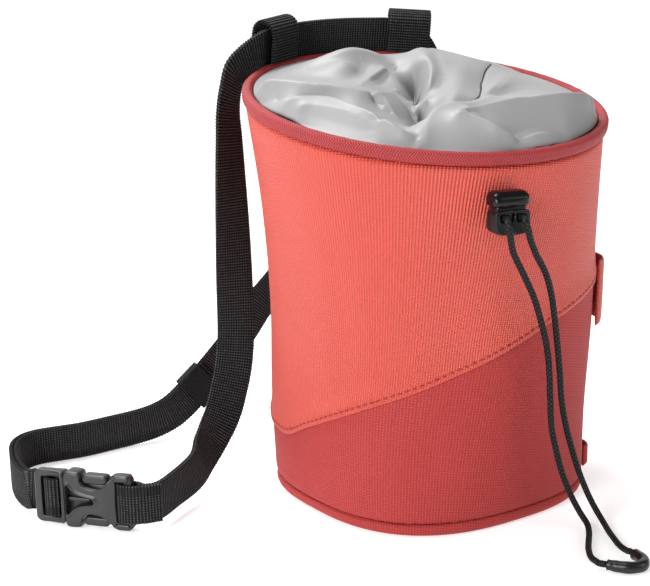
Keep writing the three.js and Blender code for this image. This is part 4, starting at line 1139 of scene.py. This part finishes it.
# Elastic sleeve round the doubled strap: a rounded box, finely ribbed outside and plain inside
def buildKeeper():
    wall, length, seat = keeper["wall"], keeper["length"], shape["seat"]
    insideHigh = 2 * strapLook["thick"] + strapLook["layerGap"] + 2 * seat
    insideWide = strapLook["width"] + 2 * seat
    outer = roundedBox(insideWide + 2 * wall, insideHigh + 2 * wall, 1.6, 8)
    inner = roundedBox(insideWide, insideHigh, 0.5, 8)
    along = np.linspace(-length / 2, length / 2, 60)
    back = np.linspace(length / 2, -length / 2, 8)
    ribs = 1 + keeper["ribDepth"] * np.cos(along * 2 * np.pi / keeper["rib"])
    outside, inside = outer[:, None] * ribs[None, :, None], np.repeat(inner[:, None], len(back), 1)
    section, reach = np.concatenate([outside, inside], 1), np.concatenate([along, back])
    at, across, face = (rows[keeper["station"]] for rows in (middleLine, middleAcross, middleFace))
    forward = np.cross(across, face)
    points = at + section[..., :1] * across + section[..., 1:] * face + reach[None, :, None] * forward
    girth = runLength(np.vstack([outer, outer[:1]]))
    return gridPiece("keeper", points, flatMap(girth, np.append(reach, reach[0])))


# Black woven elastic, finer than the webbing, with painted shade between its ribs and only faint
# painted highlights on them, so that it looks almost without shine
elastic = webbing("woven_elastic", keeper["rib"], keeper["rib"], "#262627")
finishPiece(buildKeeper(), elastic, "bag", "keeper_elastic", "belt_keeper")
print("belt, loops and keeper ready")

# Cords, their pull sleeve and the cord lock

cordLook = {"diameter": 2.3, "sleeve": 4.2}
lock = {
    "width": 13, "depth": 8.5, "body": 8.2, "button": 5, "gap": 1.5,
    "turn": -6.6, "drop": 7.6,  # below the binding
    "overhang": (0.9, 0.6),  # how much wider and deeper the cap is than the body
    "stem": (0.9, 0.74),  # shares of the body's width and depth
}
lock["height"] = float(rimPoint(lock["turn"], shape["rimRadius"], -shape["bindingHeight"])[2]
                       - lock["drop"] - lock["button"] - lock["gap"] - lock["body"])
lock["spread"], lock["hole"] = 0.235 * lock["width"], lock["body"] - 2.4
lockTop = lock["height"] + lock["body"] + lock["button"]
lockWall = wallPoint(lock["turn"], lockTop / wallTop(lock["turn"]), 0)
lockOut = math.hypot(lockWall[0], lockWall[1]) + shape["seat"] + (lock["depth"] + lock["overhang"][1]) / 2
lockMiddle = outward(lock["turn"]) * lockOut + worldUp * lock["height"]
lockSide, lockFace = outward(lock["turn"] + 90), outward(lock["turn"])


def atLock(places):  # to the right, up, and away from the wall
    return inFrame(places, lockMiddle, (lockSide, worldUp, lockFace))


# The cords' places are listed, as in the model's source
cordRoutes = {
    "left": [
        (-13.6, -78.3, 119.2), (-12.9, -78.3, 116.6), (-11.4, -77, 112.5), (-9.2, -75.3, 108),
        (-3.4, -73, 99.4), (2.2, -71.3, 90), (5.9, -70, 81.5), (9.3, -69, 71.5), (11.2, -68.3, 61),
        (12, -68, 50), (12.8, -68, 39.5), (14.7, -68, 31.5), (17.5, -68, 22), (21.6, -68.3, 12),
        (24.6, -69.8, 5.4), (25, -74, 2), (22, -79.3, 1.35), (17.2, -85.6, 1.35), (12.4, -92, 1.35),
        (9, -98.2, 1.35), (7.9, -103, 1.8),
    ],
    "right": [
        (-7.1, -79.2, 119.4), (-5.9, -79, 116.6), (-3.9, -77.6, 112.6), (0.2, -75.2, 106.5),
        (5.2, -73.3, 99.6), (8.6, -71.9, 92.5), (11.8, -70.2, 81.5), (14.1, -69, 70.5), (15.8, -68.3, 60),
        (17, -68, 49.5), (18.9, -68, 40), (21.7, -68, 30.6), (25.2, -68, 20.7), (29.3, -68.6, 10.8),
        (31.8, -70.6, 4.6), (31.4, -75.4, 1.8), (29, -81.4, 1.35), (26.2, -88.4, 1.35),
        (23.9, -95.2, 1.35), (23, -100.4, 1.7),
    ],
}
sleeveRoute = [
    (8.9, -107.2, 2.25), (11.4, -110.6, 2.25), (14.6, -113.3, 2.25), (18.2, -113.9, 2.25),
    (21.1, -111.8, 2.25), (22.4, -108.4, 2.25), (22.6, -104.9, 2.25),
]


# A circle carried along a line; the radius may be one number for each point of it
def tube(name, line, radius, sides):
    along, side = steadySides(line, np.array([0.3, 0.2, 1.0]))
    face = np.cross(along, side)
    turn = np.linspace(0, 2 * np.pi, sides, endpoint=False)[None, :, None]
    size = (np.ones(len(line)) * radius)[:, None, None]
    points = line[:, None] + size * (np.cos(turn) * side[:, None] + np.sin(turn) * face[:, None])
    return gridPiece(name, points, flatMap(runLength(line), np.linspace(0, 1, sides + 1)), closeRows=False)


# Braided polyester: two sets of strands wind round it both ways, with painted highlights as light
# flecks where they cross, as many of them as waves in each pitch along the cord
def braidedCord():
    look = {"pitch": 2.6, "waves": 1.5, "strands": 8, "relief": 0.2, "dark": "#080809", "fleck": "#424244"}
    material, tree, shader = newMaterial("braided_cord", {"Roughness": 0.6, "Specular IOR Level": 0.18})
    along, around = clothMap(tree)
    start = maths(tree, "MULTIPLY", around, look["strands"] / 2)
    lead = look["waves"] / look["pitch"]
    sets = [wave(tree, maths(tree, "MULTIPLY_ADD", along, way * lead, start), 1) for way in (1, -1)]
    crossing = maths(tree, "MULTIPLY", *sets)
    # painted highlights: light flecks of uneven strength on the strand crossings, which stand highest
    unevenGlint = maths(tree, "MULTIPLY", noise(tree, 1.5), 1.5)
    fleck = maths(tree, "MULTIPLY", maths(tree, "POWER", crossing, 2.0), unevenGlint, clamp=True)
    tree.links.new(mixColours(tree, fleck, look["dark"], look["fleck"]), shader.inputs["Base Color"])
    addBump(tree, shader, crossing, look["relief"])
    return material


cordCloth = braidedCord()
# Black heat-shrink tube, smooth with a satin shine
tubeSkin = {"Base Color": toLinear("#0d0d0e"), "Roughness": 0.34, "Specular IOR Level": 0.4}
shrinkTube = newMaterial("shrink_tube", tubeSkin)[0]
sleeveLine = smoothLine(sleeveRoute, 24)


# The pull sleeve: a tube, drawn in behind its first end and a little at both, and faintly lumpy
def buildPullSleeve():
    run = runLength(sleeveLine)
    girth = cordLook["sleeve"] / 2 * (1 - 0.16 * bell((run - 1.2) / 1.3) + 0.03 * np.sin(run * 1.1))
    girth = girth * np.clip(np.minimum(run, run[-1] - run) / 0.5 + 0.8, 0, 1)
    piece = tube("pull_sleeve", sleeveLine, girth, 28)
    return finishPiece(piece, shrinkTube, "bag", "sleeve_tube", "cord_sleeve")


pullSleeve = buildPullSleeve()


def buildCord(side):
    way, end, before = (-1, *sleeveLine[:2]) if side == "left" else (1, *sleeveLine[:-3:-1])
    front, hole = lock["depth"] / 2, (way * lock["spread"], lock["hole"])
    start = atLock([(*hole, front - 1), (*hole, front + 1.6)])
    out = unit(end - before)
    last = [end + out * (shape["seat"] + 2.5), end + out * shape["seat"]]
    line = evenly(smoothLine(np.vstack([start, cordRoutes[side], last]), 16), 0.5)
    piece = tube("drawcord_" + side, line, cordLook["diameter"] / 2, 20)
    finishPiece(piece, cordCloth, "bag", "black_cord", "cord_" + side)


for side in cordRoutes:
    buildCord(side)


# A plate with a hole: matching points on its outline and on the hole's edge, and a section from
# the one to the other. Along the section "out" and "in" are millimetres from the outline and
# from the hole, "part" is a part of the way over the flat between the two edges, and level is a
# share of the plate's half thickness. The hole's edge stands up, and in a plain plate it doesn't.
# Each edge takes its "out" or "in" in millimetres, but no more than "most" of the way across.
plateEdge = {"out": 0.9, "in": 1.5, "most": 0.42}
ringSection = [
    {"out": 0, "level": -0.72}, {"out": 0, "level": 0.72}, {"out": 0.3, "level": 0.92},
    {"out": plateEdge["out"], "level": 1}, *({"part": part, "level": 1} for part in (0.2, 0.4, 0.6, 0.8)),
    {"in": plateEdge["in"], "level": 1}, {"in": 1.15, "level": 1.1}, {"in": 0.7, "level": 1.16},
    {"in": 0.25, "level": 1.08}, {"in": 0, "level": 0.86}, {"in": 0, "level": -0.86},
    {"in": 0.4, "level": -1}, {"out": plateEdge["out"], "level": -1}, {"out": 0.3, "level": -0.92},
]
plainSection = [dict(row, level=min(row["level"], 1)) for row in ringSection]


def ringPlate(name, outline, hole, half, toFrame, section=ringSection, perSpan=8, middle=0.0):
    outline = smoothLine(np.vstack([outline, outline[:1]]), perSpan)[:-1]
    hole = smoothLine(np.vstack([hole, hole[:1]]), perSpan)[:-1]
    gap = np.linalg.norm(outline - hole, axis=1)

    def shareOf(row):
        if "out" in row:
            return np.minimum(row["out"] / gap, plateEdge["most"])
        if "in" in row:
            return np.maximum(1 - row["in"] / gap, 1 - plateEdge["most"])
        flatFrom, flatTo = shareOf({"out": plateEdge["out"]}), shareOf({"in": plateEdge["in"]})
        return flatFrom + (flatTo - flatFrom) * row["part"]

    columns = []
    for row in section:
        flat = outline + (hole - outline) * shareOf(row)[:, None]
        thick = half(flat[:, 0]) if callable(half) else np.full(len(flat), half)
        columns.append(np.column_stack([flat, middle + row["level"] * thick]))
    points = toFrame(np.stack(columns, 1))
    rows, cols = points.shape[:2]
    flat = flatMap(np.arange(rows + 1), np.arange(cols + 1))
    return gridPiece(name, points, flat)


# A slab: its outline stacked in layers of (drawn in by, level) and closed at both ends. It is
# bent by shapeOf, if there is one, and its middle is moved to "at" before it goes into the frame.
def slab(name, outline, layers, toFrame, at=(0, 0, 0), shapeOf=None):
    reach = np.abs(outline).max(0)
    stack = [np.column_stack([outline * (1 - drawn / reach), np.full(len(outline), level)])
             for drawn, level in layers]
    points = np.stack(stack)
    if shapeOf is not None:
        points = shapeOf(points)
    flat = flatMap(np.arange(len(layers)), np.arange(len(outline) + 1))
    return gridPiece(name, toFrame(points + at), flat, closeRows=False)


def roundedLayers(half, edge, steps=5):  # levels of a slab with rounded edges
    turn = np.linspace(0, np.pi / 2, steps)
    low = [(edge - edge * math.sin(t), -half + edge - edge * math.cos(t)) for t in turn]
    return low + [(drawn, -level) for drawn, level in low[::-1]]


def mirrored(rows):  # closes the upper half of an outline with its mirror image
    rows = np.array(rows, float)
    inner = rows[rows[:, 1] > 0]
    return np.vstack([rows, (inner * (1, -1))[::-1]])


# Buckle: the female half has a waist between its side openings and a triangular window with a
# raised rim; the male half's frame, its two side tabs and its tongue are one moulding

bodyRows = [
    {"outline": (-6.75, 0), "hole": (-6.1, 0)}, {"outline": (-6.75, 9.9), "hole": (-6.1, 5.3)},
    {"outline": (-6.1, 10.9), "hole": (-5.6, 5.6)}, {"outline": (-2.1, 11), "hole": (-4.4, 4.3)},
    {"outline": (-0.9, 10.6), "hole": (-3.3, 3.3)}, {"outline": (-0.45, 9.4), "hole": (-2, 2.45)},
    {"outline": (-0.3, 7.6), "hole": (-0.5, 1.85)}, {"outline": (1.3, 6), "hole": (1.2, 1.45)},
    {"outline": (4.4, 5.3), "hole": (2.9, 1.2)}, {"outline": (7.6, 5.6), "hole": (4.1, 1.0)},
    {"outline": (10.2, 6.9), "hole": (4.75, 0.8)}, {"outline": (11.6, 8.9), "hole": (5, 0.5)},
    {"outline": (13.3, 9.6), "hole": (5.08, 0.25)}, {"outline": (13.5, 0), "hole": (5.1, 0)},
]


# Half thicknesses along the buckle, each a step rounded by a logistic curve: the body thins out
# towards the bar's end, and the male frame thickens towards its shoulder
def bodyHalf(x):
    return 3.5 - 1.3 / (1 + np.exp(-(x - 10.9) * 1.8))


def frameHalf(x):
    return 1.75 + 1.7 / (1 + np.exp(-(x + 9.3) * 2.5))


# Dark-grey acetal, moulded with a satin skin, so that its rounded edges catch the light
satinAcetal = newMaterial("satin_acetal", {"Base Color": toLinear("#1d1d1f"), "Roughness": 0.36})[0]


def joinPieces(name, pieces):
    first = pieces[0]
    with bpy.context.temp_override(active_object=first, selected_editable_objects=pieces, object=first):
        bpy.ops.object.join()
    first.name = name
    return first


def buildSocket():
    wide, endMiddle = buckle["width"], buckle["endMiddle"]
    outline, hole = (mirrored([row[key] for row in bodyRows]) for key in ("outline", "hole"))
    body = ringPlate("body", outline, hole, bodyHalf, atBuckle)
    endOuter = roundedBox(2 * (buckle["female"] - endMiddle), wide * 0.975, 2.2, 4) + (endMiddle, 0)
    endHole = roundedBox(buckle["slot"], 16, 0.7, 4) + (femaleBar - buckle["slot"] / 2, 0)
    end = ringPlate("end", endOuter, endHole, 1.9, atBuckle, plainSection, 2)
    knob, layers = roundedBox(6.4, 2.6, 1.2, 4), roundedLayers(2.6, 0.9)
    knobs = [slab("knob", knob, layers, atBuckle, (buckle["knobAt"], way * 9.5, 0)) for way in (-1, 1)]
    socket = joinPieces("buckle_socket", [body, end, *knobs])
    return finishPiece(socket, satinAcetal, "bag", "buckle_plastic", "buckle_female")


def buildPlug():
    left, right = buckle["male"], buckle["split"] - 0.2
    frameOuter = roundedBox(right - left, buckle["width"] * 0.95, 2.4, 4) + ((left + right) / 2, 0)
    frameHole = roundedBox(8.4, 16, 0.9, 4) + (maleBar + 4.1, 0)
    outer = ringPlate("frame", frameOuter, frameHole, frameHalf, atBuckle, plainSection, 2)
    tab, layers = roundedBox(10.4, 3.6, 1.6, 4), roundedLayers(2.4, 0.9)
    tabs = [slab("tab", tab, layers, atBuckle, (buckle["tabAt"], way * 8.3, 0)) for way in (-1, 1)]
    tongue = slab("tongue", roundedBox(14, 9, 1.2, 4), roundedLayers(1.4, 0.5), atBuckle, (0, 0, -0.8))
    guide = slab("guide", roundedBox(9, 1.6, 0.5, 4), roundedLayers(1.2, 0.5), atBuckle, (-1.5, 0, 1))
    plug = joinPieces("buckle_plug", [outer, *tabs, tongue, guide])
    return finishPiece(plug, satinAcetal, "bag", "buckle_plastic", "buckle_male")


buildSocket()
buildPlug()

# Cord lock: a front wall in two halves, each with a cord hole and with a slanting slot between
# them, on a solid back, and a glossy cap that stands clear of it on its stem


# One half of the front wall, given for the right one: bottom corner, top corner and the slot's
# side, which slants. Its hole's edge has a point for each point of the outline.
def lockHalf(way):
    half, high, corner, ease = lock["width"] / 2, lock["body"], 2.3, 1.15
    bend = np.radians([0, 30, 60, 90])
    low = [(half - corner + corner * math.sin(t), corner - corner * math.cos(t)) for t in bend]
    top = [(half - ease * (1 - math.cos(t)), high - ease + ease * math.sin(t)) for t in bend]
    slant = 0.36 * way
    slot = [(0, high), (0, 7.5), (0.36 + slant, 7.1), (0.36 - slant, 4.4), (0, 4), (0, 0)]
    outline = np.array(low + top + slot)
    centre = np.array([lock["spread"], lock["hole"]])
    away = outline - centre
    turn = np.arctan2(away[:, 1], away[:, 0])
    hole = centre + np.column_stack([np.cos(turn) * 1.85, np.sin(turn) * 1.6])
    outline, hole = outline * (way, 1), hole * (way, 1)
    return ringPlate("wall", outline, hole, 1.1, atLock, ringSection, 6, lock["depth"] / 2 - 1.2)


# The cap's front is bent along a curve that rises to the right: above it the cap leans back
def capShape(points):
    x, z, y = np.moveaxis(points, -1, 0)
    foot = lock["body"] + lock["gap"]
    line = foot + 1.9 + 0.9 * (x / lock["width"] + 0.5) ** 2 + 0.35 * np.sin(x * 0.5)
    lean = np.maximum(y - line, 0) * 0.42 + np.maximum(line - y, 0) * 0.1
    return np.stack([x, y, np.where(z > 0, z - lean, z)], -1)


def buildLockBody():
    front, high = lock["depth"] / 2, lock["body"]
    layers = [(0.9, -front), (0.3, 0.3 - front), (0, 0.9 - front), (0, front - 1.9), (0.3, front - 1.7)]
    back = slab("back", roundedBox(lock["width"], high, 2.2, 6), layers, atLock, (0, high / 2, 0))
    layers = [(0.2, front - 2), (0, front - 0.3), (0.25, front - 0.1)]
    bridge = slab("bridge", roundedBox(1.7, 3.5, 0.3, 3), layers, atLock, (0, 2.15, 0))
    body = joinPieces("lock_body", [lockHalf(-1), lockHalf(1), back, bridge])
    # Black acetal, moulded, with a satin skin
    skin = {"Base Color": toLinear("#121314"), "Roughness": 0.4, "Specular IOR Level": 0.28}
    satin = newMaterial("satin_black_acetal", skin)[0]
    return finishPiece(body, satin, "bag", "lock_plastic", "cord_lock_body")


def buildLockCap():
    foot, top, flat = lock["body"] + lock["gap"], lock["body"] + lock["gap"] + lock["button"], 2.5
    wide, deep = lock["width"] + lock["overhang"][0], lock["depth"] + lock["overhang"][1]
    layers = [(0.7, foot), (0.25, foot + 0.15)] + [(0, foot + 0.5 + k * 0.25) for k in range(9)]
    bend = np.linspace(0, np.pi / 2, 12)[1:]
    layers += [(2.1 - 2.1 * math.cos(t), foot + flat + (top - foot - flat) * math.sin(t)) for t in bend]
    cap = slab("cap", roundedBox(wide, deep, 2.4, 10), layers, atLock, shapeOf=capShape)
    stemBox = roundedBox(lock["width"] * lock["stem"][0], lock["depth"] * lock["stem"][1], 1.5, 4)
    layers = [(0, foot - 3), (0, foot + 1)]
    stem = slab("stem", stemBox, layers, atLock, shapeOf=lambda points: points[..., [0, 2, 1]])
    button = joinPieces("lock_cap", [cap, stem])
    # Black ABS, moulded and polished: it mirrors the lights in small bright spots
    skin = {"Base Color": toLinear("#060607"), "Roughness": 0.3, "Specular IOR Level": 0.2,
            "Coat Weight": 0.15, "Coat Roughness": 0.06}
    gloss = newMaterial("polished_plastic", skin)[0]
    return finishPiece(button, gloss, "lock_button", "lock_gloss", "cord_lock_button")


buildLockBody()
buildLockCap()

# Brush sleeves: flat tunnels of cloth, sewn to the wall along both edges

sleeves = {
    "upper": {"low": 0.425, "high": 0.59, "width": 19, "clear": 1.2,
              "cloth": coralCloth, "slot": "coral_cloth"},
    "lower": {"low": 0.042, "high": 0.094, "width": 10.45, "clear": 0.3,
              "cloth": brickCloth, "slot": "brick_cloth"},
}
sleeveLook = {
    "turn": 63, "bulge": 2, "skin": 1.2,
    "edge": 0.15,  # share of the half width that is sewn down flat
    "hem": 0.32,  # the tunnel's mouths are hemmed, so their edges are rounded
}


# A tunnel: the outer skin and the inner one, each a power of a cosine across, closed at the hems
def buildBrushSleeve(side):
    row, skin = sleeves[side], sleeveLook["skin"]
    halfTurn = math.degrees(row["width"] / 2 / shape["baseHalfWidth"])
    across = np.linspace(-1, 1, 41)
    inside = 1 - sleeveLook["edge"]
    arch = np.cos(np.clip(across / inside, -1, 1) * np.pi / 2) ** 0.7
    arch = np.where(np.abs(across) > inside, 0, arch)
    along = np.concatenate([[0, 0.03, 0.09, 0.2], np.linspace(0.4, 0.6, 12), [0.8, 0.91, 0.97, 1]])
    pinch = np.interp(along, [0, 0.03, 0.09, 0.91, 0.97, 1], [1, 0.4, 0, 0, 0.4, 1]) * sleeveLook["hem"]
    height = shape["rimHeight"] * (row["low"] + (row["high"] - row["low"]) * along)
    turn = sleeveLook["turn"] + np.concatenate([across, across[::-1]]) * halfTurn
    swell = row["clear"] + sleeveLook["bulge"] * np.concatenate([arch, arch[::-1]])
    outside = np.repeat([1, 0], len(across))
    proud = swell + skin * outside + np.where(outside, -1, 1) * pinch[:, None]
    points = wallPoint(turn[None], height[:, None] / wallTop(turn)[None], proud)
    girth = np.append(turn, turn[0]) * shape["baseHalfWidth"] * math.pi / 180
    piece = gridPiece("brush_tunnel_" + side, points, flatMap(height, girth), closeRows=False)
    return finishPiece(piece, row["cloth"], "bag", row["slot"], "brush_sleeve_" + side)


for side in sleeves:
    buildBrushSleeve(side)
print("buckle, cord lock and brush sleeves ready")

# Floor and backdrop

stage = {"reach": 4000, "floor": -0.3, "screen": 2200}
# White light table, bright enough that only the shade close under the bag is seen
tableGlow = {"Base Color": (0.7, 0.7, 0.7, 1), "Emission Strength": 0.55}
# White paper screen, lit a little past white
screenGlow = {"Base Color": (0, 0, 0, 1), "Emission Strength": 1.05}


def addPlane(name, material, glow, corners):
    mesh = bpy.data.meshes.new(name)
    mesh.from_pydata([Vector(corner) * mm for corner in corners], [], [(0, 1, 2, 3)])
    surface = {"Roughness": 1.0, "Emission Color": (1, 1, 1, 1), **glow}
    mesh.materials.append(newMaterial(material, surface)[0])
    plane = bpy.data.objects.new(name, mesh)
    scene.collection.objects.link(plane)
    return plane


reach = stage["reach"]
square = [(-reach, -reach), (reach, -reach), (reach, reach), (-reach, reach)]
floor = addPlane("floor", "white_light_table", tableGlow, [(x, y, stage["floor"]) for x, y in square])
upright = [(-reach, -1000), (reach, -1000), (reach, 3000), (-reach, 3000)]
backdrop = addPlane("screen", "white_screen", screenGlow, [(x, stage["screen"], z) for x, z in upright])
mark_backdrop(floor, backdrop)

low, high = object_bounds()
